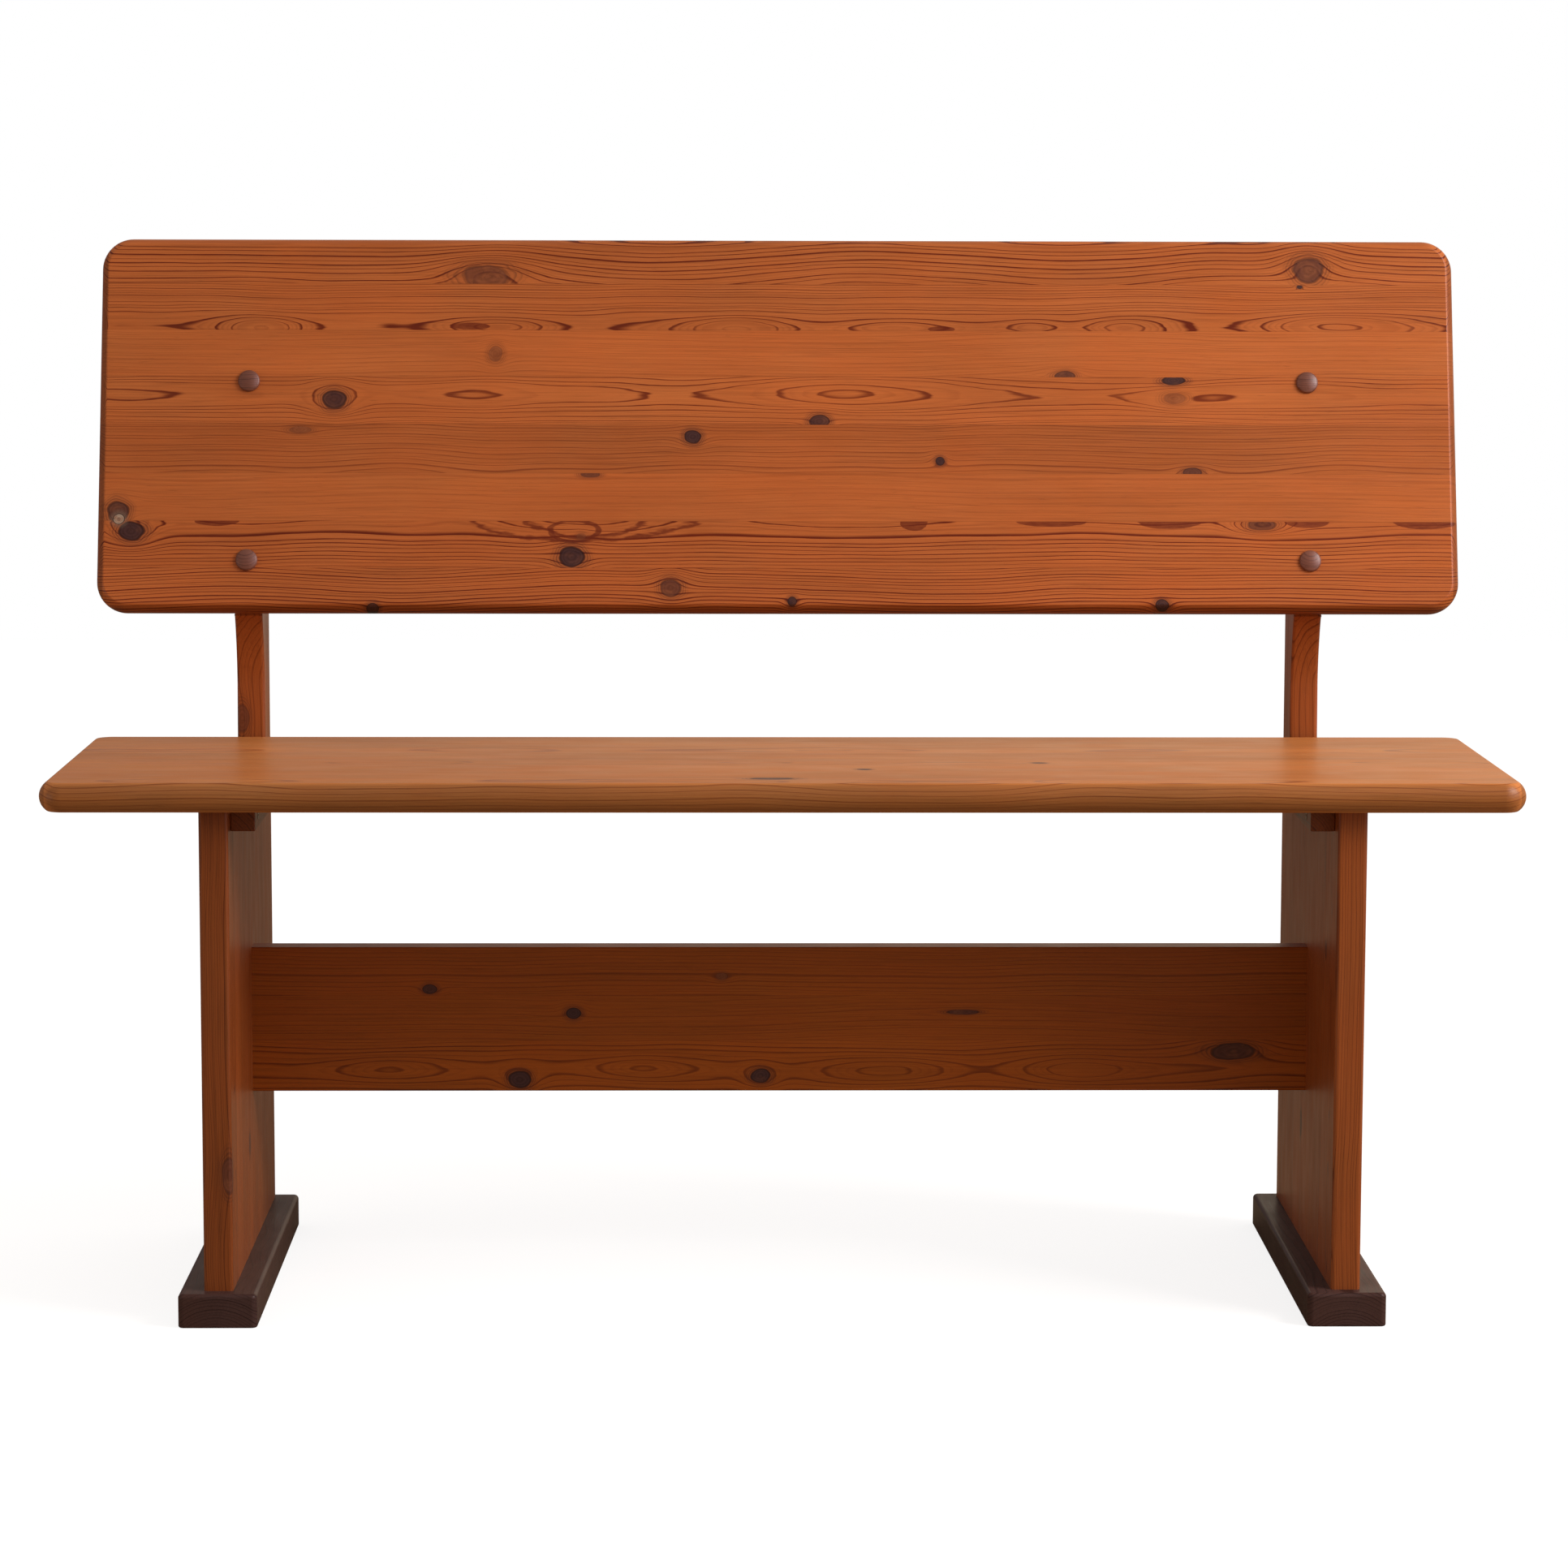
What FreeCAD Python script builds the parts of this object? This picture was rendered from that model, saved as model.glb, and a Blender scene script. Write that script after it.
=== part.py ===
import FreeCAD
import Part
import math
import os

# A low pine bench with a leaning backrest. Two end panels stand on sled feet and rise into back posts.
# A seat board lies on the panels, a stretcher ties them together and a backrest is screwed to the posts.
# X runs along the bench, the sitter faces -Y and Z points up from the floor. All lengths are in millimetres.

# Seat board
seat_length = 1200.0
seat_depth = 350.0
seat_height = 448.0
seat_thickness = 24.0
seat_corner_radius = 20.0
seat_nose_bulge = 6.5
seat_stave_count = 8

# Backrest board, measured along the board itself
backrest_inset = 9.0
backrest_height = 332.0
backrest_thickness = 22.0
backrest_corner_radius = 27.0
backrest_nose_bulge = 6.5
backrest_lean = 15.0
backrest_lift = 107.0
backrest_stave_shares = [0.125, 0.125, 0.124, 0.1285, 0.1305, 0.1275, 0.125, 0.1145]

# End panels, each with its post
panel_inset = 139.0
panel_thickness = 24.0
panel_setback = 24.0
panel_edge_radius = 3.0
panel_stave_count = 8
post_depth = 49.0
post_stave_share = 0.62
post_sweep = 17.0
post_sweep_height = 61.0
post_nose_radius = 8.0
post_bend_lift = 142.0
post_bend_radius = 180.0
post_top_setback = 30.0
post_top_depth = 38.0
post_top_chamfer = 12.0

# Stretcher board
stretcher_height = 124.0
stretcher_thickness = 24.0
stretcher_lift = 131.5
stretcher_place_share = 0.53
stretcher_edge_radius = 1.5
stretcher_stave_shares = [0.335, 0.31, 0.355]

# Sled feet
foot_width = 64.5
foot_height = 28.0
foot_overhang_front = 13.5
foot_overhang_back = 9.0
foot_corner_radius = 5.0
foot_chamfer = 3.0

# Cleats under the seat
cleat_width = 20.0
cleat_height = 20.0
cleat_setback = 20.0
cleat_edge_radius = 1.0

# Domed plugs and the screws under them
plug_radius = 9.5
plug_depth = 9.0
plug_rim_height = 2.2
plug_dome_height = 2.0
backrest_plug_shares = [0.135, 0.612]
stretcher_screw_shares = [0.22, 0.8]
cleat_screw_shares = [0.1, 0.5, 0.9]
seat_screw_shares = [0.25, 0.75]
foot_screw_shares = [0.06, 0.5, 0.88]
foot_bore_depth = 10.0

# Screws, long ones through boards and short ones through cleats
long_screw_length = 55.0
long_screw_radius = 2.5
long_head_radius = 4.8
long_head_height = 3.2
short_screw_length = 34.0
short_screw_radius = 2.0
short_head_radius = 4.0
short_head_height = 2.6
screw_flats = 6
screw_tip_radius = 1.0

# Clearances
seat_to_post_clearance = 0.3
screw_clearance = 0.1
plug_clearance = 0.1
foot_bore_clearance = 1.2
overrun = 2.0

# Places that follow from the sizes above, with Y zero at the middle of the feet
seat_underside = seat_height - seat_thickness
backrest_length = seat_length - 2 * backrest_inset
panel_spacing = seat_length - 2 * panel_inset
post_offset = seat_depth + seat_to_post_clearance - panel_setback
panel_depth = post_offset + post_depth
foot_length = foot_overhang_front + panel_depth + foot_overhang_back
foot_front = -foot_length / 2
panel_front = foot_front + foot_overhang_front
panel_back = panel_front + panel_depth
post_front = panel_front + post_offset
seat_front = panel_front - panel_setback
seat_back = seat_front + seat_depth
panel_inside = panel_spacing / 2 - panel_thickness / 2
panel_outside = panel_spacing / 2 + panel_thickness / 2
lean = math.radians(backrest_lean)
backrest_base_y = post_front - post_sweep
backrest_base_z = seat_height + backrest_lift
panel_stave_width = (panel_depth - post_depth * post_stave_share) / panel_stave_count
stretcher_bottom = foot_height + stretcher_lift
cleat_front = panel_front + cleat_setback
cleat_length = post_offset - 2 * cleat_setback


def panel_stave_middle(share):
    # The middle, along Y, of the panel's stave that lies at this share of its full staves.
    stave = int(panel_stave_count * share)
    return panel_front + panel_stave_width * (stave + 1 / 2)


stretcher_middle = panel_stave_middle(stretcher_place_share)
stretcher_front = stretcher_middle - stretcher_thickness / 2

X_AXIS = FreeCAD.Vector(1, 0, 0)
Y_AXIS = FreeCAD.Vector(0, 1, 0)
Z_AXIS = FreeCAD.Vector(0, 0, 1)
QUARTER_TURN = 90.0
SIDES = {"left": -1, "right": 1}


def point(x, y, z):
    return FreeCAD.Vector(x, y, z)


def line(start, end):
    return Part.LineSegment(start, end).toShape()


def block(x_low, x_high, y_low, y_high, z_low, z_high):
    corner = point(x_low, y_low, z_low)
    return Part.makeBox(x_high - x_low, y_high - y_low, z_high - z_low, corner)


def rounded(solid, radius, wanted):
    # Rounds the edges that the test named by wanted picks out.
    edges = [edge for edge in solid.Edges if wanted(edge)]
    return solid.makeFillet(radius, edges)


def spread(shares):
    # Turns shares of a width into the running edges between them, from 0 to 1.
    total = sum(shares)
    edges = [0.0]
    for share in shares:
        edges.append(edges[-1] + share / total)
    return edges


def equal_shares(count):
    return [1.0 / count] * count


def nose_section(half_span, thickness, bulge):
    # Cross-section of a board that is half_span wide to each side, as points (across, up): both of its
    # edges swell outwards in an arc that starts with a crisp line at the faces.
    flat = half_span - bulge
    low_left = point(-flat, 0, 0)
    low_right = point(flat, 0, 0)
    high_left = point(-flat, 0, thickness)
    high_right = point(flat, 0, thickness)
    tip_left = point(-half_span, 0, thickness / 2)
    tip_right = point(half_span, 0, thickness / 2)
    edges = [
        line(low_left, low_right),
        Part.Arc(low_right, tip_right, high_right).toShape(),
        line(high_right, high_left),
        Part.Arc(high_left, tip_left, low_left).toShape(),
    ]
    return Part.Face(Part.Wire(edges))


def nose_corner(radius, thickness, bulge):
    # One rounded corner of a nosed board, turned about the upright axis at its centre.
    flat = radius - bulge
    tip = point(radius, 0, thickness / 2)
    edges = [
        line(point(0, 0, 0), point(flat, 0, 0)),
        Part.Arc(point(flat, 0, 0), tip, point(flat, 0, thickness)).toShape(),
        line(point(flat, 0, thickness), point(0, 0, thickness)),
        line(point(0, 0, thickness), point(0, 0, 0)),
    ]
    return Part.Face(Part.Wire(edges)).revolve(point(0, 0, 0), Z_AXIS, QUARTER_TURN)


def nosed_board(length, depth, thickness, corner_radius, bulge):
    # A board lying flat, centred on X and running from Y zero to its depth, with a nose all round.
    half_length = length / 2
    half_depth = depth / 2
    straight_x = half_length - corner_radius
    straight_y = half_depth - corner_radius
    along = nose_section(half_depth, thickness, bulge)
    along.rotate(point(0, 0, 0), Z_AXIS, QUARTER_TURN)
    along.translate(point(-straight_x, 0, 0))
    board = along.extrude(point(2 * straight_x, 0, 0))
    across = nose_section(half_length, thickness, bulge)
    across.translate(point(0, -straight_y, 0))
    pieces = [across.extrude(point(0, 2 * straight_y, 0))]
    for turn, (side_x, side_y) in enumerate([(1, 1), (-1, 1), (-1, -1), (1, -1)]):
        corner = nose_corner(corner_radius, thickness, bulge)
        corner.rotate(point(0, 0, 0), Z_AXIS, QUARTER_TURN * turn)
        corner.translate(point(side_x * straight_x, side_y * straight_y, 0))
        pieces.append(corner)
    board = board.multiFuse(pieces).removeSplitter()
    board.translate(point(0, half_depth, 0))
    return board


def staves_along_y(board, low, high, shares, name, backwards=False):
    # Saws a board into staves that lie side by side from Y low to Y high.
    box = board.BoundBox
    edges = spread(shares)
    staves = {}
    for index in range(len(shares)):
        start = low + (high - low) * edges[index]
        end = low + (high - low) * edges[index + 1]
        number = len(shares) - index if backwards else index + 1
        slab = block(box.XMin - overrun, box.XMax + overrun, start, end, box.ZMin - overrun, box.ZMax + overrun)
        staves[name + str(number)] = board.common(slab)
    return staves


def ring(radius, height):
    # The corners of a ring of flats round the Z axis, which touch a circle of this radius from outside.
    corner_radius = radius / math.cos(math.pi / screw_flats)
    corners = []
    for index in range(screw_flats):
        turn = 2 * math.pi * index / screw_flats
        corners.append(point(corner_radius * math.cos(turn), corner_radius * math.sin(turn), height))
    return corners


def flat_face(corners):
    return Part.Face(Part.makePolygon(corners + corners[:1]))


def flat_sided(rings):
    # A solid with flats in place of a round side, through rings given from one end to the other.
    faces = [flat_face(rings[0]), flat_face(rings[-1])]
    for lower, upper in zip(rings, rings[1:]):
        for index in range(screw_flats):
            follower = (index + 1) % screw_flats
            faces.append(flat_face([lower[index], lower[follower], upper[follower], upper[index]]))
    return Part.Solid(Part.Shell(faces))


def screw(length, radius, head_radius, head_height, tip_radius):
    # A countersunk wood screw with a tapering shank. Its head is at the origin and it points along +Z.
    return flat_sided([ring(head_radius, 0), ring(radius, head_height), ring(tip_radius, length)])


def long_screw(clearance=0.0):
    return screw(
        long_screw_length + clearance,
        long_screw_radius + clearance,
        long_head_radius + clearance,
        long_head_height + clearance,
        screw_tip_radius + clearance,
    )


def short_screw(clearance=0.0):
    return screw(
        short_screw_length + clearance,
        short_screw_radius + clearance,
        short_head_radius + clearance,
        short_head_height + clearance,
        screw_tip_radius + clearance,
    )


def plug():
    # A wooden plug whose foot is at the origin. Its short rim and low dome stand out along -Z.
    rim_height = -plug_depth - plug_rim_height
    rim = point(plug_radius, 0, rim_height)
    top = point(0, 0, rim_height - plug_dome_height)
    dome_radius = (plug_radius ** 2 + plug_dome_height ** 2) / (2 * plug_dome_height)
    half_angle = math.asin(plug_radius / dome_radius) / 2
    drop = dome_radius * (1 - math.cos(half_angle))
    halfway = point(dome_radius * math.sin(half_angle), 0, top.z + drop)
    edges = [
        line(point(0, 0, 0), point(plug_radius, 0, 0)),
        line(point(plug_radius, 0, 0), rim),
        Part.Arc(rim, halfway, top).toShape(),
        line(top, point(0, 0, 0)),
    ]
    return Part.Face(Part.Wire(edges)).revolve(point(0, 0, 0), Z_AXIS, 4 * QUARTER_TURN)


def plug_bore():
    # The bore that a plug fills: its floor, where the screw's head lies, is at the origin.
    radius = plug_radius + plug_clearance
    return Part.makeCylinder(radius, plug_depth + overrun, point(0, 0, 0), -Z_AXIS)


def aimed(shape, place, direction):
    # Turns a shape that points along +Z so that it points along direction from place.
    turn = FreeCAD.Rotation(Z_AXIS, direction)
    shape.Placement = FreeCAD.Placement(place, turn).multiply(shape.Placement)
    return shape


def backrest_placement():
    turn = FreeCAD.Rotation(X_AXIS, QUARTER_TURN - backrest_lean)
    return FreeCAD.Placement(point(0, backrest_base_y, backrest_base_z), turn)


def backrest_screw_places():
    # Where the backrest screws' heads lie: under the plugs, in line with the posts.
    places = []
    for side in SIDES.values():
        for share in backrest_plug_shares:
            height = backrest_height * share
            local = point(side * panel_spacing / 2, height, backrest_thickness - plug_depth)
            places.append(backrest_placement().multVec(local))
    return places


def backrest_inward():
    return point(0, math.cos(lean), -math.sin(lean))


def stretcher_screw_places(side):
    # Where the heads of the stretcher's screws lie, in from the panel's outer face.
    places = []
    for share in stretcher_screw_shares:
        height = stretcher_bottom + stretcher_height * share
        places.append(point(side * (panel_outside - plug_depth), stretcher_middle, height))
    return places


def cleat_screw_places(side):
    # Where the heads of the screws that hold a cleat to its panel lie.
    face = panel_inside - cleat_width
    height = seat_underside - cleat_height / 2
    places = []
    for share in cleat_screw_shares:
        places.append(point(side * face, cleat_front + cleat_length * share, height))
    return places


def seat_screw_places(side):
    # Where the heads of the screws that hold the seat to a cleat lie.
    middle = panel_inside - cleat_width / 2
    places = []
    for share in seat_screw_shares:
        along = cleat_front + cleat_length * share
        places.append(point(side * middle, along, seat_underside - cleat_height))
    return places


def foot_screw_places(side):
    # Where the heads of the screws that hold a foot to its panel lie.
    places = []
    for share in foot_screw_shares:
        places.append(point(side * panel_spacing / 2, panel_stave_middle(share), foot_bore_depth))
    return places


def outward(side):
    return point(side, 0, 0)


def seat_board():
    board = nosed_board(seat_length, seat_depth, seat_thickness, seat_corner_radius, seat_nose_bulge)
    board.translate(point(0, seat_front, seat_underside))
    for side in SIDES.values():
        for place in seat_screw_places(side):
            board = board.cut(aimed(short_screw(screw_clearance), place, Z_AXIS))
    return board


def seat_staves():
    shares = equal_shares(seat_stave_count)
    return staves_along_y(seat_board(), seat_front, seat_back, shares, "seat_stave_")


def backrest_staves():
    # The board is sawn into staves while it lies flat, then it is stood up and leaned back.
    board = nosed_board(
        backrest_length, backrest_height, backrest_thickness, backrest_corner_radius, backrest_nose_bulge
    )
    lying = backrest_placement().inverse()
    for place in backrest_screw_places():
        for tool in (plug_bore(), long_screw(screw_clearance)):
            aimed(tool, place, backrest_inward())
            tool.Placement = lying.multiply(tool.Placement)
            board = board.cut(tool)
    upwards = list(reversed(backrest_stave_shares))
    staves = staves_along_y(board, 0, backrest_height, upwards, "backrest_stave_", backwards=True)
    for stave in staves.values():
        stave.Placement = backrest_placement().multiply(stave.Placement)
    return staves


def bend(before, corner, after, radius):
    # The two ends and the middle of an arc that rounds the corner between two straight runs.
    to_before = (before - corner).normalize()
    to_after = (after - corner).normalize()
    half = to_before.getAngle(to_after) / 2
    reach = radius / math.tan(half)
    middle = (to_before + to_after).normalize()
    centre = corner + middle * (radius / math.sin(half))
    return corner + to_before * reach, centre - middle * radius, corner + to_after * reach


def post_corners():
    # The front and back corners of the post's top, and the corner that its back edge bends round.
    rest_run = backrest_height - post_top_setback
    front_y = backrest_base_y + rest_run * math.sin(lean)
    top_z = backrest_base_z + rest_run * math.cos(lean)
    bend_corner = point(0, panel_back, seat_height + post_bend_lift)
    return point(0, front_y, top_z), point(0, front_y + post_top_depth, top_z), bend_corner


def post_top_wedge():
    # What is sawn off the back corner of the post's top, with some overrun at both ends of the cut.
    _front, corner, bend_corner = post_corners()
    top_end = corner - point(0, post_top_chamfer, 0)
    back_end = corner + (bend_corner - corner).normalize() * post_top_chamfer
    along = (back_end - top_end).normalize()
    outward = (corner - (top_end + back_end) / 2).normalize()
    wedge = flat_face([
        top_end - along * overrun,
        corner + outward * post_top_chamfer,
        back_end + along * overrun,
    ])
    return wedge.extrude(point(panel_thickness, 0, 0))


def panel_outline():
    # The side view of a panel and its post. The post's front edge stands upright behind the seat, sweeps
    # forward to the foot of the backrest and then leans back with it.
    sweep_radius = (post_sweep_height ** 2 + post_sweep ** 2) / (2 * post_sweep)
    sweep_angle = 2 * math.atan(post_sweep / post_sweep_height)
    sweep_start = point(0, post_front, backrest_base_z - post_sweep_height)
    sweep_middle = sweep_start + point(
        0, -sweep_radius * (1 - math.cos(sweep_angle / 2)), sweep_radius * math.sin(sweep_angle / 2)
    )
    foot_of_rest = point(0, backrest_base_y, backrest_base_z)
    top_front, top_back, bend_corner = post_corners()
    low_front = point(0, panel_front, foot_height)
    low_back = point(0, panel_back, foot_height)
    high_front = point(0, panel_front, seat_underside)
    seat_corner = point(0, post_front, seat_underside)
    bend_start, bend_middle, bend_end = bend(top_back, bend_corner, low_back, post_bend_radius)
    edges = [
        line(low_front, high_front),
        line(high_front, seat_corner),
        line(seat_corner, sweep_start),
        Part.Arc(sweep_start, sweep_middle, foot_of_rest).toShape(),
        line(foot_of_rest, top_front),
        line(top_front, top_back),
        line(top_back, bend_start),
        Part.Arc(bend_start, bend_middle, bend_end).toShape(),
        line(bend_end, low_back),
        line(low_back, low_front),
    ]
    return Part.Face(Part.Wire(edges))


def is_side_edge(edge):
    # True for an edge of a panel's side face that may be rounded: not the ones that lie on the foot, under
    # the seat or across the top, and not the short ones that run through the panel's thickness.
    box = edge.BoundBox
    through = box.XLength > panel_thickness / 2
    level = box.ZLength < panel_edge_radius / 2
    return not through and not level


def is_post_nose(edge):
    # True for the edge through the panel's thickness where the post meets the foot of the backrest.
    middle = edge.CenterOfMass
    away = math.hypot(middle.y - backrest_base_y, middle.z - backrest_base_z)
    return away < post_nose_radius / 2


def panel_board(side):
    board = panel_outline().extrude(point(panel_thickness, 0, 0))
    board = rounded(board, post_nose_radius, is_post_nose)
    board = rounded(board, min(panel_edge_radius, panel_thickness / 3), is_side_edge)
    board = board.cut(post_top_wedge())
    board.translate(point(side * panel_spacing / 2 - panel_thickness / 2, 0, 0))
    tools = [aimed(long_screw(screw_clearance), place, Z_AXIS) for place in foot_screw_places(side)]
    for place in cleat_screw_places(side):
        tools.append(aimed(short_screw(screw_clearance), place, outward(side)))
    for place in stretcher_screw_places(side):
        tools.append(aimed(long_screw(screw_clearance), place, outward(-side)))
        tools.append(aimed(plug_bore(), place, outward(-side)))
    for place in backrest_screw_places():
        if place.x * side > 0:
            tools.append(aimed(long_screw(screw_clearance), place, backrest_inward()))
    return board.cut(tools)


def panel_staves(side, name):
    # The last full stave of the panel bulges forward into the post. Behind it one stave makes the back of
    # the post, and another the part of the post that leans out over the panel's back.
    board = panel_board(side)
    rear_edge = panel_back - post_depth * post_stave_share
    staves = staves_along_y(board, panel_front, rear_edge, equal_shares(panel_stave_count), name)
    box = board.BoundBox
    starts = [rear_edge, panel_back, box.YMax + overrun]
    for index in range(len(starts) - 1):
        low = box.ZMin - overrun
        high = box.ZMax + overrun
        slab = block(box.XMin - overrun, box.XMax + overrun, starts[index], starts[index + 1], low, high)
        staves[name + str(panel_stave_count + 1 + index)] = board.common(slab)
    return staves


def stretcher_staves():
    low = stretcher_bottom
    high = stretcher_bottom + stretcher_height
    back = stretcher_front + stretcher_thickness
    board = block(-panel_inside, panel_inside, stretcher_front, back, low, high)
    board = rounded(board, stretcher_edge_radius, lambda edge: edge.BoundBox.XLength > panel_inside)
    for side in SIDES.values():
        for place in stretcher_screw_places(side):
            board = board.cut(aimed(long_screw(screw_clearance), place, outward(-side)))
    edges = spread(stretcher_stave_shares)
    staves = {}
    for index in range(len(stretcher_stave_shares)):
        top = high - stretcher_height * edges[index]
        bottom = high - stretcher_height * edges[index + 1]
        slab = block(
            -panel_inside - overrun, panel_inside + overrun, stretcher_front - overrun, back + overrun, bottom, top
        )
        staves["stretcher_stave_" + str(index + 1)] = board.common(slab)
    return staves


def foot(side):
    # A sled foot with a flat sole, rounded corners and its top edges taken off, bored from below for the
    # screws into the panel.
    middle = side * panel_spacing / 2
    half = foot_width / 2
    solid = block(middle - half, middle + half, foot_front, foot_front + foot_length, 0, foot_height)
    solid = rounded(solid, foot_corner_radius, lambda edge: edge.BoundBox.ZLength > foot_height / 2)
    top_edges = [edge for edge in solid.Edges if is_foot_top_edge(edge)]
    solid = solid.makeChamfer(min(foot_chamfer, foot_height / 3), top_edges)
    for place in foot_screw_places(side):
        bore_radius = long_head_radius + foot_bore_clearance
        bore = flat_sided([ring(bore_radius, -overrun), ring(bore_radius, foot_bore_depth)])
        bore.translate(point(place.x, place.y, 0))
        solid = solid.cut([bore, aimed(long_screw(screw_clearance), place, Z_AXIS)])
    return solid


def is_foot_top_edge(edge):
    return edge.BoundBox.ZMin > foot_height / 2


def cleat(side):
    # A square batten in the corner under the seat, screwed sideways to the panel and up into the seat.
    near = panel_inside - cleat_width
    x_low = min(side * near, side * panel_inside)
    low = seat_underside - cleat_height
    back = cleat_front + cleat_length
    solid = block(x_low, x_low + cleat_width, cleat_front, back, low, seat_underside)
    solid = rounded(solid, cleat_edge_radius, lambda edge: is_free_cleat_edge(edge, side))
    for place in cleat_screw_places(side):
        solid = solid.cut(aimed(short_screw(screw_clearance), place, outward(side)))
    for place in seat_screw_places(side):
        solid = solid.cut(aimed(short_screw(screw_clearance), place, Z_AXIS))
    return solid


def is_free_cleat_edge(edge, side):
    # True for the long lower edge that touches neither the panel nor the seat.
    middle = edge.CenterOfMass
    long_one = edge.BoundBox.YLength > cleat_length / 2
    low = middle.z < seat_underside - cleat_height / 2
    inner = middle.x * side < panel_inside - cleat_width / 2
    return long_one and low and inner


def both_sides(places):
    return [(side, place) for side in SIDES.values() for place in places(side)]


def fasteners():
    # Each kind of screw or plug is one group of separate solids.
    groups = {}
    rest = backrest_screw_places()
    groups["backrest_screws"] = [aimed(long_screw(), place, backrest_inward()) for place in rest]
    groups["backrest_plugs"] = [aimed(plug(), place, backrest_inward()) for place in rest]
    ties = both_sides(stretcher_screw_places)
    groups["stretcher_screws"] = [aimed(long_screw(), place, outward(-side)) for side, place in ties]
    groups["panel_plugs"] = [aimed(plug(), place, outward(-side)) for side, place in ties]
    battens = both_sides(cleat_screw_places)
    groups["cleat_screws"] = [aimed(short_screw(), place, outward(side)) for side, place in battens]
    tops = both_sides(seat_screw_places)
    groups["seat_screws"] = [aimed(short_screw(), place, Z_AXIS) for _side, place in tops]
    soles = both_sides(foot_screw_places)
    groups["foot_screws"] = [aimed(long_screw(), place, Z_AXIS) for _side, place in soles]
    return {name: Part.makeCompound(solids) for name, solids in groups.items()}


def all_pieces():
    pieces = {}
    pieces.update(seat_staves())
    pieces.update(backrest_staves())
    pieces.update(stretcher_staves())
    for name, side in SIDES.items():
        pieces.update(panel_staves(side, name + "_panel_stave_"))
        pieces[name + "_foot"] = foot(side)
        pieces[name + "_cleat"] = cleat(side)
    pieces.update(fasteners())
    return pieces


def main():
    # The pieces are moved so that the origin lies on the floor under the middle of the whole bench.
    os.makedirs("parts", exist_ok=True)
    pieces = all_pieces()
    whole = Part.makeCompound(list(pieces.values())).optimalBoundingBox(False, False)
    middle = (whole.YMin + whole.YMax) / 2
    for name, shape in pieces.items():
        shape.translate(point(0, -middle, 0))
        shape.exportStep("parts/" + name + ".step")
        box = shape.BoundBox
        print(name, shape.isValid(), len(shape.Solids), round(shape.Volume), round(box.YMin, 2), round(box.YMax, 2))
    print("size", round(whole.XLength, 2), round(whole.YLength, 2), round(whole.ZLength, 2), "moved", round(middle, 3))


main()
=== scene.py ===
import math
from collections import namedtuple
from functools import cache
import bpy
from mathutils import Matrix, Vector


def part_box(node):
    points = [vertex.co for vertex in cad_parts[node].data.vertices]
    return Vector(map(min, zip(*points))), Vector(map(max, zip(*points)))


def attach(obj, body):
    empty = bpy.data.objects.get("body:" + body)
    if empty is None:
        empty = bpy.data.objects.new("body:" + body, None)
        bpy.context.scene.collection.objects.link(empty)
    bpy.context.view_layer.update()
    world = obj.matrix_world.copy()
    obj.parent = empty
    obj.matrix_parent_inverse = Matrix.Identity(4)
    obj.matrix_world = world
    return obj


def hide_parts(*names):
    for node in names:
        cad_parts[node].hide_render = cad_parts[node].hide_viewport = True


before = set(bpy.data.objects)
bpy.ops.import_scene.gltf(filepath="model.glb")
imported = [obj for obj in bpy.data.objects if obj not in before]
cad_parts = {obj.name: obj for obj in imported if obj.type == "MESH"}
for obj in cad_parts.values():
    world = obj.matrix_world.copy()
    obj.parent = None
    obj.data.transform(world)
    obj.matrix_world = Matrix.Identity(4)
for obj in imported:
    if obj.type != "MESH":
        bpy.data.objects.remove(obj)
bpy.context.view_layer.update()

from types import SimpleNamespace

import bmesh
import bpy
from mathutils import Euler, Matrix, Vector

bl_info = {
    "name": "Lacquered pine bench",
    "version": (1, 0, 0),
    "blender": (4, 5, 0),
    "location": "3D View > Sidebar > Bench",
    "description": "Dresses a pine bench: nosed boards, leaning backrest, posts, sled feet and their finish",
    "category": "Add Mesh",
}

MM = 0.001
BODY = "root"
SIDES = ("left", "right")
STAVE_COUNTS = {"seat": 8, "backrest": 8, "left_panel": 10, "right_panel": 10, "stretcher": 3}
X_AXIS = Vector((1, 0, 0))
Y_AXIS = Vector((0, 1, 0))
Z_AXIS = Vector((0, 0, 1))

# How near two places are that count as one: in a mesh, in a rounded outline, and where edges are picked
WELD = 0.005 * MM
OUTLINE_WELD = 0.05 * MM
NEAR = 0.1 * MM

# How near a saw cut a corner counts as lying on it, and a distance that is longer than any stave is wide
CUT_WIDTH = 0.001 * MM
BEYOND = 1000 * MM

# How finely the round shapes are divided
NOSE_STEPS = 14
CORNER_STEPS = 14
ARC_STEPS = 12
DOME_STEPS = 8
BUTTON_SIDES = 48
BORE_SIDES = 32
SCREW_SIDES = 28
SHARP_ANGLE = math.radians(30)


def linear(red, green, blue):
    """A colour as it looks on screen, from 0 to 255, in the values that shaders work with."""
    shares = [channel / 255 for channel in (red, green, blue)]
    return tuple(share / 12.92 if share < 0.04045 else ((share + 0.055) / 1.055) ** 2.4 for share in shares)


def length_property(name, description, millimetres):
    return bpy.props.FloatProperty(
        name=name, description=description, default=millimetres * MM, min=0.0, unit="LENGTH", precision=5
    )


def colour_property(name, description, red, green, blue):
    return bpy.props.FloatVectorProperty(
        name=name, description=description, default=linear(red, green, blue), size=3, min=0.0, max=1.0,
        subtype="COLOR",
    )


def early_wood(piece, *colour):
    return colour_property(f"Early wood, {piece}", f"Light part of a ring in the {piece}", *colour)


def late_wood(piece, *colour):
    return colour_property(f"Late wood, {piece}", f"Dark part of a ring in the {piece}", *colour)


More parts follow.
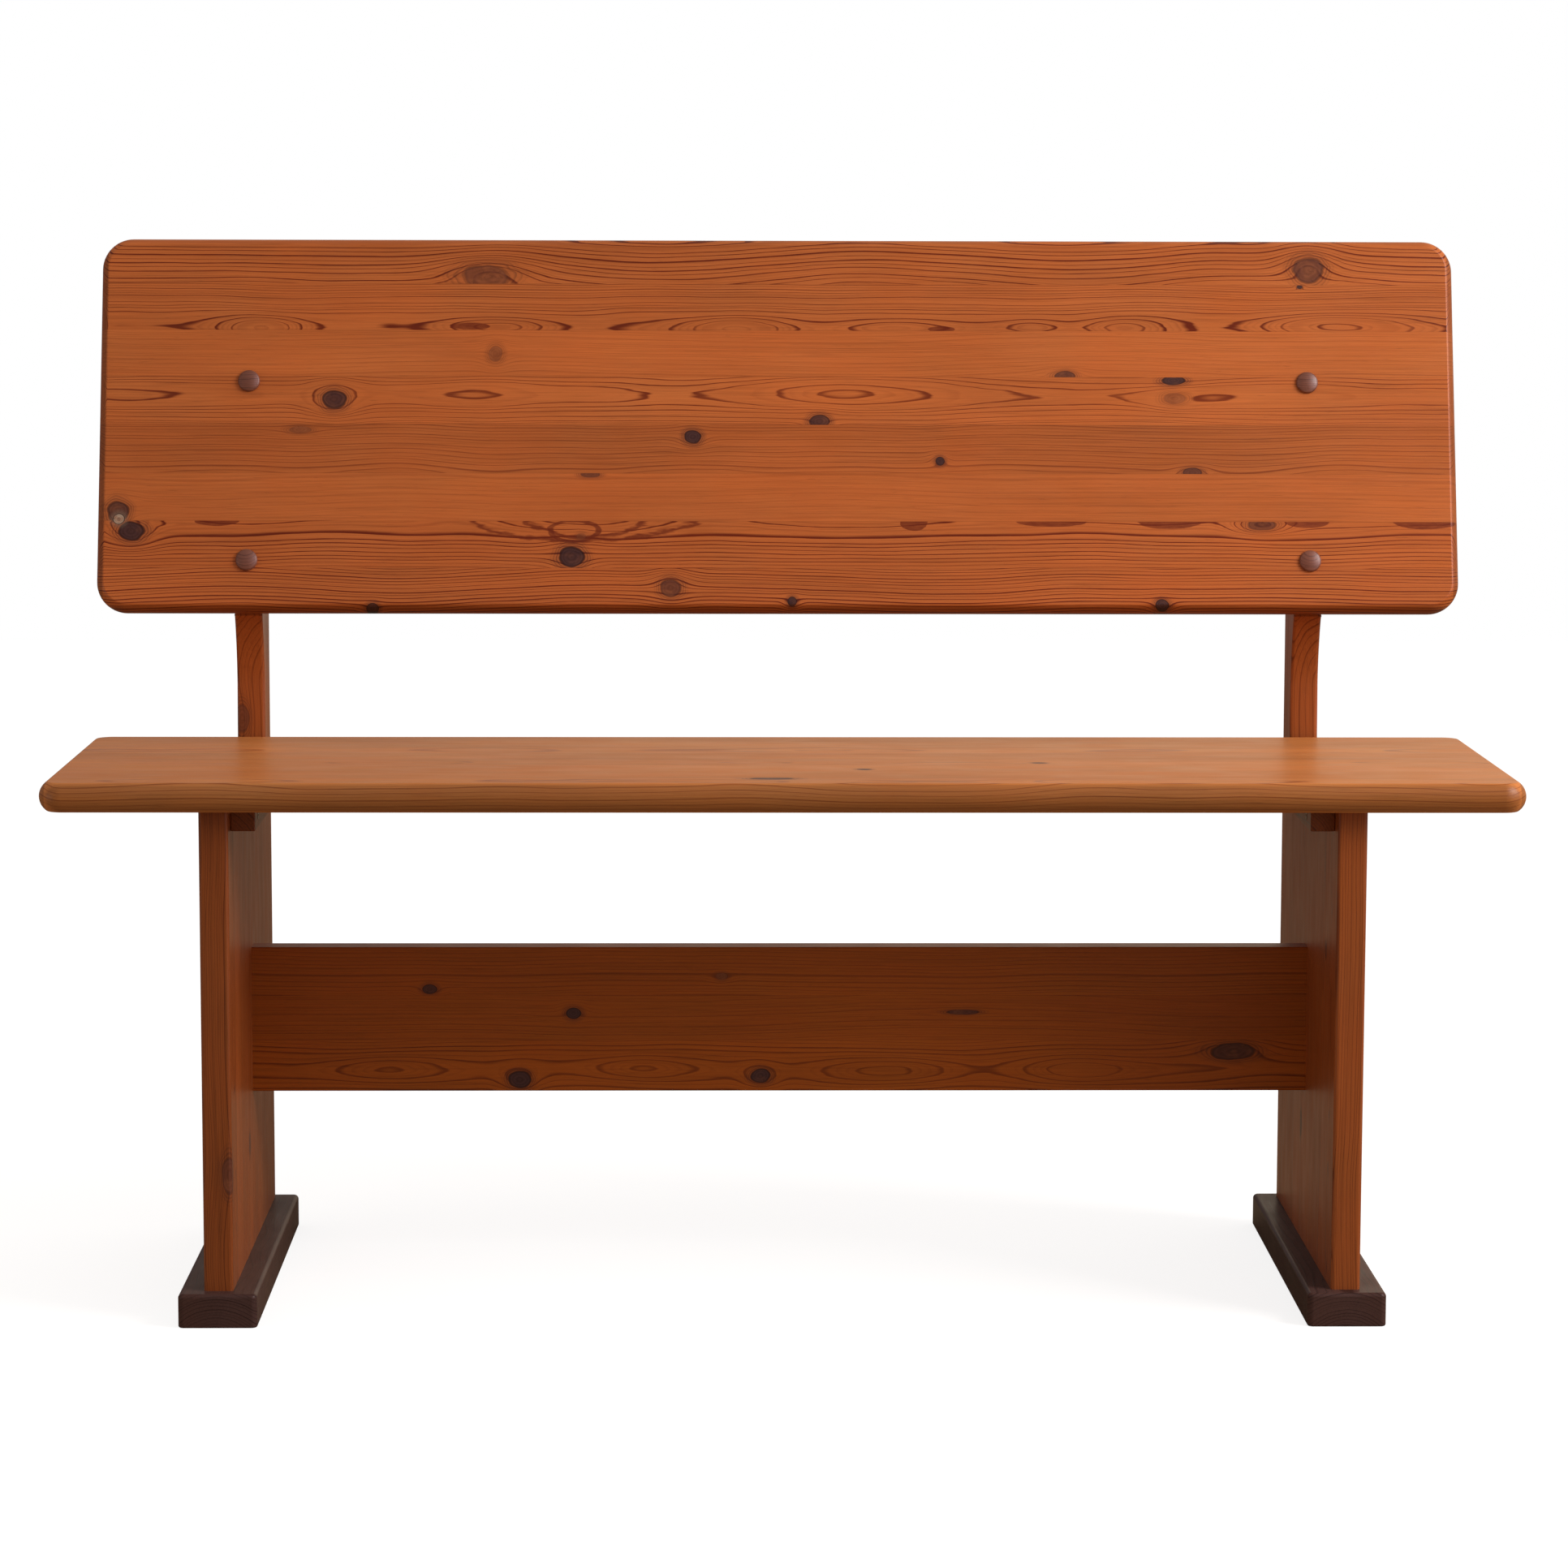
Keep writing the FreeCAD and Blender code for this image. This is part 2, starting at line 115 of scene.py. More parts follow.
class BenchSizes(bpy.types.PropertyGroup):
    """Sizes of the bench that its frame doesn't give by itself."""

    nose_bulge: length_property("Nose bulge", "How far the nose of the seat and backrest swells out", 6.5)
    break_radius: length_property("Break line", "Softening of the line where a nose meets a face", 0.7)
    seat_corner: length_property("Seat corner", "Radius of the seat's corners, seen from above", 20.0)
    backrest_corner: length_property("Backrest corner", "Radius of the backrest's corners", 27.0)
    backrest_lean: bpy.props.FloatProperty(
        name="Backrest lean", description="How far the backrest leans back from upright",
        default=math.radians(15), subtype="ANGLE",
    )
    panel_edge: length_property("Panel edge", "Rounding of the panels' long edges", 3.0)
    post_sweep: length_property("Post sweep", "How far the front of the post sweeps forward", 17.0)
    post_sweep_height: length_property("Post sweep height", "Height of the post's sweep", 61.0)
    post_nose: length_property("Post nose", "Rounding where the post meets the backrest's foot", 8.0)
    post_bend_lift: length_property("Post bend lift", "Height of the post's rear bend above the seat", 142.0)
    post_bend: length_property("Post bend", "Radius of the bend in the post's back", 180.0)
    post_top_depth: length_property("Post top depth", "Depth of the post's top end", 38.0)
    post_top_cut: length_property("Post top cut", "How much is sawn off the post's top back corner", 12.0)
    stretcher_edge: length_property("Stretcher edge", "Rounding of the stretcher's long edges", 1.5)
    foot_corner: length_property("Foot corner", "Radius of the feet's upright corners", 5.0)
    foot_edge: length_property("Foot edge", "Rounding of the feet's top edges", 3.5)
    sole_edge: length_property("Sole edge", "Rounding of the feet's lowest edges", 1.5)
    cleat_edge: length_property("Cleat edge", "Rounding of the cleats' edges", 1.0)
    plug_radius: length_property("Plug radius", "Radius of the wooden plugs", 9.5)
    plug_rim: length_property("Plug rim", "How far a plug's rim stands out", 2.2)
    plug_dome: length_property("Plug dome", "How far a plug's dome rises above its rim", 2.0)
    plug_rounding: length_property("Plug rounding", "Rounding of a plug's rim", 1.3)
    plug_depth: length_property("Plug depth", "How far a plug reaches into its board", 4.0)
    bore_radius: length_property("Bore radius", "Radius of the screw bores in the soles", 6.0)
    bore_depth: length_property("Bore depth", "Depth of the screw bores in the soles", 10.0)


class BenchFinish(bpy.types.PropertyGroup):
    """Colours of the lacquered pine and of the stage."""

    backrest_early: early_wood("backrest", 193, 103, 48)
    backrest_late: late_wood("backrest", 108, 36, 12)
    seat_early: early_wood("seat", 202, 124, 64)
    seat_late: late_wood("seat", 136, 62, 26)
    panel_early: early_wood("end panels", 160, 82, 36)
    panel_late: late_wood("end panels", 92, 34, 12)
    stretcher_early: early_wood("stretcher", 164, 80, 20)
    stretcher_late: late_wood("stretcher", 96, 34, 6)
    foot_early: early_wood("stained feet", 76, 52, 47)
    foot_late: late_wood("stained feet", 42, 26, 25)
    plug_early: early_wood("plugs", 125, 74, 57)
    plug_late: late_wood("plugs", 66, 33, 26)
    live_knot: colour_property("Live knot", "Middle of a sound knot", 118, 62, 36)
    dead_knot: colour_property("Dead knot", "Middle of a dark knot", 66, 42, 42)
    knot_patch: colour_property("Knot patch", "Paler patch in a knot's middle", 150, 88, 54)
    filler: colour_property("Filler", "Pale filler that stops a hole in a knot", 176, 150, 128)
    knot_rim: colour_property("Knot rim", "Bark line round a knot", 44, 22, 20)
    screw: colour_property("Screw", "Aged zinc of the screws", 150, 140, 122)
    screw_spots: colour_property("Screw spots", "Brown spots on the screws", 82, 58, 40)
    floor: colour_property("Floor", "The pale floor's shade on top of its own white", 164, 162, 160)
    floor_bounce: colour_property("Floor bounce", "Its shade where it only throws light back", 150, 132, 108)


def sizes():
    return bpy.context.scene.bench_sizes


def finish():
    return bpy.context.scene.bench_finish


# Places that come from the frame

def staves(board):
    """The nodes of a board's staves, in order."""
    return [f"{board}_stave_{number}" for number in range(1, STAVE_COUNTS[board] + 1)]


def joint_box(nodes):
    """Lowest and highest corner of several of the frame's nodes together."""
    lows, highs = zip(*(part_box(node) for node in nodes))
    return Vector([min(values) for values in zip(*lows)]), Vector([max(values) for values in zip(*highs)])


def solids(node):
    """The corners of each separate solid in a node, from a merged copy of its mesh."""
    bm = bmesh.new()
    bm.from_mesh(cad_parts[node].data)
    bmesh.ops.remove_doubles(bm, verts=bm.verts[:], dist=2 * WELD)
    left = set(bm.verts)
    groups = []
    for start in bm.verts:
        if start not in left:
            continue
        left.remove(start)
        reached = [start]
        for vert in reached:
            for edge in vert.link_edges:
                other = edge.other_vert(vert)
                if other in left:
                    left.remove(other)
                    reached.append(other)
        groups.append([vert.co.copy() for vert in reached])
    bm.free()
    return groups


def near_ends(node, heading):
    """The middle of the end that each solid in a node turns against its heading, with that heading.

    A heading gives the way that a solid points from the solid's middle. A screw's near end is its head.
    """
    for corners in solids(node):
        direction = heading(sum(corners, Vector()) / len(corners))
        nearest = min(corner.dot(direction) for corner in corners)
        end = [corner for corner in corners if corner.dot(direction) < nearest + NEAR]
        yield sum(end, Vector()) / len(end), direction


def upwards(_middle):
    return Z_AXIS


def outwards(middle):
    return X_AXIS if middle.x > 0 else -X_AXIS


def inwards(middle):
    return -outwards(middle)


def out_of_backrest(_middle):
    lean = sizes().backrest_lean
    return Vector((0, -math.cos(lean), math.sin(lean)))


def into_backrest(middle):
    return -out_of_backrest(middle)


# Boards made with mesh operators

def edges_of(geometry):
    return [item for item in geometry if isinstance(item, bmesh.types.BMEdge)]


def verts_of(geometry):
    return [item for item in geometry if isinstance(item, bmesh.types.BMVert)]


def run(edge, axis):
    """How far an edge runs along an axis."""
    return abs((edge.verts[0].co - edge.verts[1].co).dot(axis))


def close_up(bm):
    """Merges doubles, fills open rims and turns all faces outwards."""
    bmesh.ops.remove_doubles(bm, verts=bm.verts[:], dist=WELD)
    rims = [edge for edge in bm.edges if edge.is_boundary]
    if rims:
        bmesh.ops.edgeloop_fill(bm, edges=rims)
    bmesh.ops.recalc_face_normals(bm, faces=bm.faces[:])


def bevel(bm, geometry, offset, segments, affect="EDGES"):
    bmesh.ops.bevel(
        bm, geom=geometry, offset=offset, offset_type="OFFSET", segments=segments, profile=0.5,
        affect=affect, clamp_overlap=False, material=-1,
    )


def mesh_of(bm, name):
    """A mesh with the shape of a bmesh, which it uses up."""
    mesh = bpy.data.meshes.new(name)
    bm.to_mesh(mesh)
    bm.free()
    return mesh


def placed(name, data):
    """A new object in the scene."""
    item = bpy.data.objects.new(name, data)
    bpy.context.scene.collection.objects.link(item)
    return item


def box_mesh(low, high):
    bm = bmesh.new()
    place = Matrix.Translation((low + high) / 2) @ Matrix.Diagonal((*(high - low), 1))
    bmesh.ops.create_cube(bm, size=1.0, matrix=place)
    return bm


def nose_radius(thickness):
    """The radius of the arc that swells out by the nose's bulge over a board's thickness."""
    bulge = sizes().nose_bulge
    return (thickness ** 2 / 4 + bulge ** 2) / (2 * bulge)


def nosed_board(length, width, thickness, corner_radius):
    """A board lying flat, centred on X, from Y zero to its width, with a swelling nose all round."""
    radius = nose_radius(thickness)
    half_angle = math.asin(thickness / 2 / radius)
    half_x, half_y = length / 2 - corner_radius, width / 2 - corner_radius
    bm = bmesh.new()
    start = bm.verts.new((half_x, sizes().nose_bulge - width / 2, 0))
    bmesh.ops.spin(
        bm, geom=[start], cent=(half_x, radius - width / 2, thickness / 2), axis=X_AXIS,
        angle=-2 * half_angle, steps=NOSE_STEPS, use_merge=False,
    )
    profile = bm.verts[:] + bm.edges[:]
    centres = [Vector((half_x * x, half_y * y, 0)) for x, y in ((1, -1), (1, 1), (-1, 1), (-1, -1))]
    for centre, following in zip(centres, centres[1:] + centres[:1]):
        turned = bmesh.ops.spin(
            bm, geom=profile, cent=centre, axis=Z_AXIS, angle=math.pi / 2, steps=CORNER_STEPS,
            use_merge=False,
        )
        pulled = bmesh.ops.extrude_edge_only(bm, edges=edges_of(turned["geom_last"]))["geom"]
        bmesh.ops.translate(bm, vec=following - centre, verts=verts_of(pulled))
        profile = verts_of(pulled) + edges_of(pulled)
    close_up(bm)
    crisp = [edge for edge in bm.edges if edge.calc_face_angle(0) > half_angle / 2]
    bevel(bm, crisp, sizes().break_radius, segments=3)
    bmesh.ops.translate(bm, vec=(0, width / 2, 0), verts=bm.verts[:])
    close_up(bm)
    return bm


def sawn(board, across, low, high):
    """The part of a board between two planes square to a direction, with both cuts closed."""
    part = board.copy()
    for limit, away in ((low, -across), (high, across)):
        bmesh.ops.bisect_plane(
            part, geom=part.verts[:] + part.edges[:] + part.faces[:], dist=CUT_WIDTH,
            plane_co=across * limit, plane_no=away, clear_outer=True,
        )
    close_up(part)
    return part


def add_piece(bm, name, material, nodes, slot):
    """Turns a mesh into a finished piece that rides on the bench and stands for the frame's nodes."""
    for face in bm.faces:
        face.smooth = True
    for edge in bm.edges:
        edge.smooth = edge.calc_face_angle(0) < SHARP_ANGLE
    piece = placed(name, mesh_of(bm, name))
    piece.data.materials.append(material)
    shading = piece.modifiers.new("even_shading", "WEIGHTED_NORMAL")
    shading.weight = 100
    shading.keep_sharp = True
    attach(piece, BODY)
    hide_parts(*nodes)


# How the staves of a board look: the wood's colours and slot, each stave's grain, the first seed and the
# step to the next, the marks by the stave's number, and how dark a painted shade makes a stave's nose.
Look = namedtuple("Look", "wood slot grains seed seed_step marks noses", defaults=({},))


def add_staves(whole, board, glue_lines, across, lying, look, zero=0.0, ends=None, stand=Matrix()):
    """Saws a board at its glue lines and adds each stave, with its own grain, as a piece.

    Glue lines and zero are measured in the mesh, lying is the place and turn of the grain, and stand puts a
    sawn stave in its place.
    """
    beyond = math.copysign(BEYOND, glue_lines[-1] - glue_lines[0])
    cuts = [glue_lines[0] - beyond, *glue_lines, glue_lines[-1] + beyond]
    for index, node in enumerate(staves(board)):
        number = index + 1
        start, end = sorted(cuts[index:index + 2])
        part = sawn(whole, across, start, end)
        bmesh.ops.transform(part, matrix=stand, verts=part.verts[:])
        material = pine_material(
            f"pine_{board}_{number}", look.wood, lying, look.grains[index],
            look.seed + look.seed_step * index, glue=((start - zero) / MM, (end - zero) / MM),
            marks=look.marks.get(number, ()), nose=look.noses.get(number), ends=ends,
        )
        add_piece(part, f"{board}_plank_{number}", material, [node], look.slot)
    whole.free()


# Wood grain

class Signal:
    """One output in a shader tree. Sums and products of signals add the nodes that work them out."""

    def __init__(self, graph, socket):
        self.graph = graph
        self.socket = socket

    def __add__(self, other):
        return self.graph.math("ADD", self, other)

    def __sub__(self, other):
        return self.graph.math("SUBTRACT", self, other)

    def __rsub__(self, other):
        return self.graph.math("SUBTRACT", other, self)

    def __mul__(self, other):
        return self.graph.math("MULTIPLY", self, other)

    def __truediv__(self, other):
        return self.graph.math("DIVIDE", self, other)


class Graph:
    """Adds nodes to one shader tree and links them as they are made."""

    def __init__(self, tree):
        self.tree = tree

    def node(self, kind, values=(), **settings):
        node = self.tree.nodes.new("ShaderNode" + kind)
        for key, value in settings.items():
            setattr(node, key, value)
        for socket, value in dict(values).items():
            self.feed(node.inputs[socket], value)
        return node

    def signal(self, kind, values=(), output=0, **settings):
        """Adds a node and gives one of its outputs."""
        return Signal(self, self.node(kind, values, **settings).outputs[output])

    def feed(self, socket, value):
        """Links an input to a signal, or sets it to a number, a place or a colour."""
        if isinstance(value, Signal):
            value = value.socket
        if isinstance(value, bpy.types.NodeSocket):
            self.tree.links.new(value, socket)
        elif socket.type == "RGBA":
            socket.default_value = (*value, 1.0)
        elif socket.type == "VECTOR" and isinstance(value, float):
            socket.default_value = (value, value, value)
        else:
            socket.default_value = value

    def math(self, operation, *values):
        """Does a sum, on vectors where one of the values is a vector."""
        sockets = [value.socket for value in values if isinstance(value, Signal)]
        kind = "VectorMath" if any(socket.type == "VECTOR" for socket in sockets) else "Math"
        return self.signal(kind, enumerate(values), operation=operation)

    def length(self, vector):
        return self.signal("VectorMath", {0: vector}, "Value", operation="LENGTH")

    def split(self, vector):
        return [Signal(self, socket) for socket in self.node("SeparateXYZ", {0: vector}).outputs]

    def join(self, x, y, z):
        return self.signal("CombineXYZ", {0: x, 1: y, 2: z})

    def noise(self, place, scale, seed, detail=2.0):
        """Noise about zero, from -0.5 to 0.5, with a scale along each axis."""
        moved = place * scale + seed
        return self.signal("TexNoise", {"Vector": moved, "Scale": 1.0, "Detail": detail}) - 0.5

    def line_noise(self, along, scale, seed):
        """Noise about zero that changes along one measure only."""
        moved = along * scale + seed
        values = {"W": moved, "Scale": 1.0, "Detail": 1.0}
        return self.signal("TexNoise", values, noise_dimensions="1D") - 0.5

    def luck(self, number):
        """A value from 0 to 1 that is drawn anew for every number."""
        return self.signal("TexWhiteNoise", {"W": number}, noise_dimensions="1D")

    def step(self, value, start, end, first=0.0, last=1.0):
        """A smooth step between two values. It falls where the start is the higher one."""
        values = {0: value, 1: start, 2: end, 3: first, 4: last}
        return self.signal("MapRange", values, interpolation_type="SMOOTHSTEP")

    def band(self, value, start, full, fading, end):
        """A smooth band: it rises from start to full and falls from fading to end."""
        return self.step(value, start, full) * self.step(value, end, fading)

    def mix(self, share, first, second, blend="MIX"):
        return self.signal("Mix", {0: share, 6: first, 7: second}, 2, data_type="RGBA", blend_type=blend)

    def tinted(self, colour, shade):
        return self.mix(1.0, colour, shade, "MULTIPLY")

    def group(self, tree, **values):
        """Adds a group that works on the given values, and gives its outputs."""
        return [Signal(self, socket) for socket in self.node("Group", values, node_tree=tree).outputs]


def empty_graph(holder):
    """The graph of a new material or world, without the nodes that it came with."""
    holder.use_nodes = True
    holder.node_tree.nodes.clear()
    return Graph(holder.node_tree)


def new_group(name, inputs, outputs):
    """A node group with named sockets of each kind, its graph and its two ends."""
    tree = bpy.data.node_groups.new(name, "ShaderNodeTree")
    for way, sockets in (("INPUT", inputs), ("OUTPUT", outputs)):
        for kind, names in sockets.items():
            for socket in names.split():
                tree.interface.new_socket(name=socket, in_out=way, socket_type="NodeSocket" + kind)
    graph = Graph(tree)
    given = {socket.name: Signal(graph, socket) for socket in tree.nodes.new("NodeGroupInput").outputs}
    return graph, SimpleNamespace(**given), tree.nodes.new("NodeGroupOutput").inputs


@cache
def flow_group():
    """Grain that runs round a knot or swells into an eye: it bends the place and adds rings."""
    graph, given, wanted = new_group(
        "grain_flow",
        {"Vector": "base place centre reach", "Float": "rings push extra"},
        {"Vector": "place", "Float": "rings"},
    )
    away = given.base - given.centre
    share = graph.length(away / given.reach)
    swell = graph.math("EXPONENT", share * share * -1.0)
    pushed = swell * given.push * graph.split(away)[1]
    graph.feed(wanted["place"], given.place - graph.join(0.0, pushed, 0.0))
    graph.feed(wanted["rings"], swell * given.extra + given.rings)
    return graph.tree


@cache
def knot_group():
    """A knot's face: its dark middle with rings of its own, the bark line round it and a warm halo."""
    graph, given, wanted = new_group(
        "knot_face",
        {"Vector": "base centre radii", "Color": "colour middle pale rim", "Float": "height strength bark"},
        {"Color": "colour", "Float": "height"},
    )
    ragged = graph.noise(given.base, (0.07, 0.1, 0.05), 3.7, 1.0)
    distance = ragged * 0.5 + graph.length((given.base - given.centre) / given.radii)
    body = graph.step(distance, 1.04, 0.88)
    halo = graph.step(distance, 0.9, 2.0, 0.3, 0.0)
    rim = graph.band(distance, 0.74, 0.96, 1.0, 1.12)
    ring_line = graph.band(graph.math("FRACT", distance * 4.6), 0.3, 0.8, 0.85, 1.0)
    ring_line = ring_line * graph.band(distance, 1.0, 1.1, 1.2, 1.95) * given.strength * 0.5
    crack = graph.step(graph.noise(given.base, (0.4, 0.45, 0.05), 8.1), 0.1, 0.2)
    pale = graph.step(graph.noise(given.base, (0.085, 0.11, 0.05), 5.3, 1.0), -0.02, 0.16, 0.0, 0.55)
    shade = graph.math("SINE", distance * 17.0) * 0.16 + distance * 0.2 + 0.85
    middle = graph.tinted(graph.mix(pale, given.middle, given.pale), shade)
    middle = graph.mix(crack * 0.5, middle, given.rim)
    around = graph.mix(halo * given.strength, given.colour, given.middle)
    around = graph.mix(ring_line, around, given.rim)
    colour = graph.mix(body * given.strength, around, middle)
    bark = rim * given.bark * given.strength
    graph.feed(wanted["colour"], graph.mix(bark, colour, given.rim))
    dip = (crack + rim) * body * -0.6
    graph.feed(wanted["height"], dip * given.strength + given.height)
    return graph.tree


@cache
def flame_group():
    """A broad dark streak or loop, where the saw grazed the late wood of one ring."""
    graph, given, wanted = new_group(
        "grazed_ring",
        {"Vector": "base centre radii", "Color": "colour late", "Float": "edge"},
        {"Color": "colour"},
    )
    ragged = graph.noise(given.base, (0.035, 0.09, 0.05), 9.3)
    frayed = graph.noise(given.base, (0.12, 0.6, 0.05), 4.1)
    distance = ragged * 0.4 + graph.length((given.base - given.centre) / given.radii) + frayed * 0.12
    inner = 1.0 - given.edge
    dark = graph.band(distance, inner - 0.08, inner, 0.96, 1.02) * (frayed * 0.5 + 0.78)
    graph.feed(wanted["colour"], graph.mix(dark, given.colour, given.late))
    return graph.tree


@cache
def rings_group():
    """Pine sawn from a log: rings about a wandering pith, fibres, resin dashes and broad shade."""
    graph, given, wanted = new_group(
        "pine_rings",
        {"Vector": "base place pith", "Color": "early late",
         "Float": "rings drift wander spacing contrast seed shade"},
        {"Color": "colour", "Float": "height late"},
    )
    base, place, seed = given.base, given.place, given.seed
    along, across, depth = graph.split(place)
    _none, pith_across, pith_depth = graph.split(given.pith)
    sway = graph.line_noise(along, 0.0035, seed) * given.wander
    heave = graph.line_noise(along, 0.0048, seed + 31.0) * given.wander
    from_across = across - pith_across - sway
    from_depth = depth - (along * given.drift + (pith_depth + heave))
    radius = graph.length(graph.join(0.0, from_across, from_depth))

    count = radius / given.spacing + given.rings
    count += graph.noise(place, (0.0042, 0.03, 0.03), seed) * 0.9
    count += graph.noise(place, (0.012, 0.055, 0.055), seed + 41.0, 1.0) * 0.5
    count += graph.noise(place, (0.018, 0.2, 0.2), seed + 5.0) * 0.34
    count += graph.line_noise(count, 0.43, seed + 11.0) * 1.6

    share = graph.math("FRACT", count)
    luck = graph.luck(graph.math("FLOOR", count) + seed)
    slimness = graph.math("ABSOLUTE", from_across) / radius * 0.3 + 0.7
    width = slimness * (luck * 0.16 + 0.17)
    late = graph.band(share, 0.92 - width, 0.9, 0.94, 1.0) * (luck * 0.4 + 0.6)
    narrow = count * 3.0
    narrow_luck = graph.luck(graph.math("FLOOR", narrow) + seed)
    narrow_line = graph.band(graph.math("FRACT", narrow), 0.35, 0.85, 0.88, 1.0) * narrow_luck * 0.24
    late = graph.math("MAXIMUM", late, narrow_line) + share * share * 0.1

    fibre = graph.noise(base, (0.006, 0.5, 0.5), seed, 3.0)
    fine = graph.noise(base, (0.04, 1.7, 1.7), seed + 2.0, 1.0)
    thread = graph.noise(place, (0.004, 0.36, 0.36), seed + 21.0, 1.0)
    thread = graph.step(graph.math("ABSOLUTE", thread), 0.05, 0.0)
    dash = graph.step(graph.noise(base, (0.07, 1.1, 1.1), seed + 7.0, 1.0), 0.18, 0.28)
    broad = graph.noise(base, (0.0042, 0.022, 0.022), seed + 13.0)
    patch = graph.noise(base, (0.011, 0.017, 0.017), seed + 17.0, 3.0)
    late_share = late * given.contrast * (patch * 0.9 + 1.0)
    shade = given.shade + broad * 0.42 + fibre * 0.22 + fine * 0.24 - thread * 0.12 - dash * 0.15
    warmth = patch * 0.26 + 1.0
    colour = graph.tinted(graph.mix(late_share, given.early, given.late), shade)
    graph.feed(wanted["colour"], graph.tinted(colour, graph.join(1.0, warmth, warmth * warmth)))
    graph.feed(wanted["height"], late * 0.5 + fibre * 0.8 - dash * 0.5)
    graph.feed(wanted["late"], late_share)
    return graph.tree


# How one stave was cut from its log, in millimetres of its board: where the pith lay across and below the
# board's back, how far apart the rings are, how strongly they show, how light the stave is, and how the
# pith wanders and drifts.
Grain = namedtuple("Grain", "across depth spacing contrast shade wander drift", defaults=(1.0, 12.0, 0.0))

# Half the depth, in millimetres, of a mark that goes right through its board
THROUGH = 400.0

# A knot, in millimetres along and across its board, with half its length and width. Rings is how many
# growth rings run round it, dead is 1 for a dark knot and 0 for a sound one, through is half its depth.
# A stopped knot is closed with pale filler.
Knot = namedtuple(
    "Knot", "along across long wide rings dead depth through stopped",
    defaults=(1.5, 1.0, 0.0, THROUGH, False),
)

# An eye in the grain: the rings rise round its middle over its half length and half width.
Eye = namedtuple("Eye", "along across long wide rings")

# A grazed ring, in millimetres, with the share of its half length and width that is dark: 1.3 fills it.
Flame = namedtuple("Flame", "along across long wide edge", defaults=(1.3,))

# How far a knot bends the grain: in lengths, widths and depths of its own, and how hard it pushes
KNOT_REACH = (2.0, 1.7, 2.0)
KNOT_PUSH = 0.92

# How dark the stain lies on the end grain of the seat and backrest, and in the glue lines
END_GRAIN_SHADE = 0.62
GLUE_SHADE = 0.86

# In millimetres: how wide the stain lies along a glue line, where the painted shade on a nose fades out
# across it, and over which length the darker end grain sets in
GLUE_LINE_WIDTH = 0.6
NOSE_PAINTED_SHADE_FADE = (3.0, 7.5)
END_GRAIN_FADE = 1.5

# Glue lines so far away that a piece shows none
NO_GLUE = (-1000.0, 1000.0)

LACQUER_GLOSS = 0.22
STAIN_GLOSS = 0.08
PLUG_GLOSS = 0.5


def blended(first, second, share):
    return tuple(a + (b - a) * share for a, b in zip(first, second))


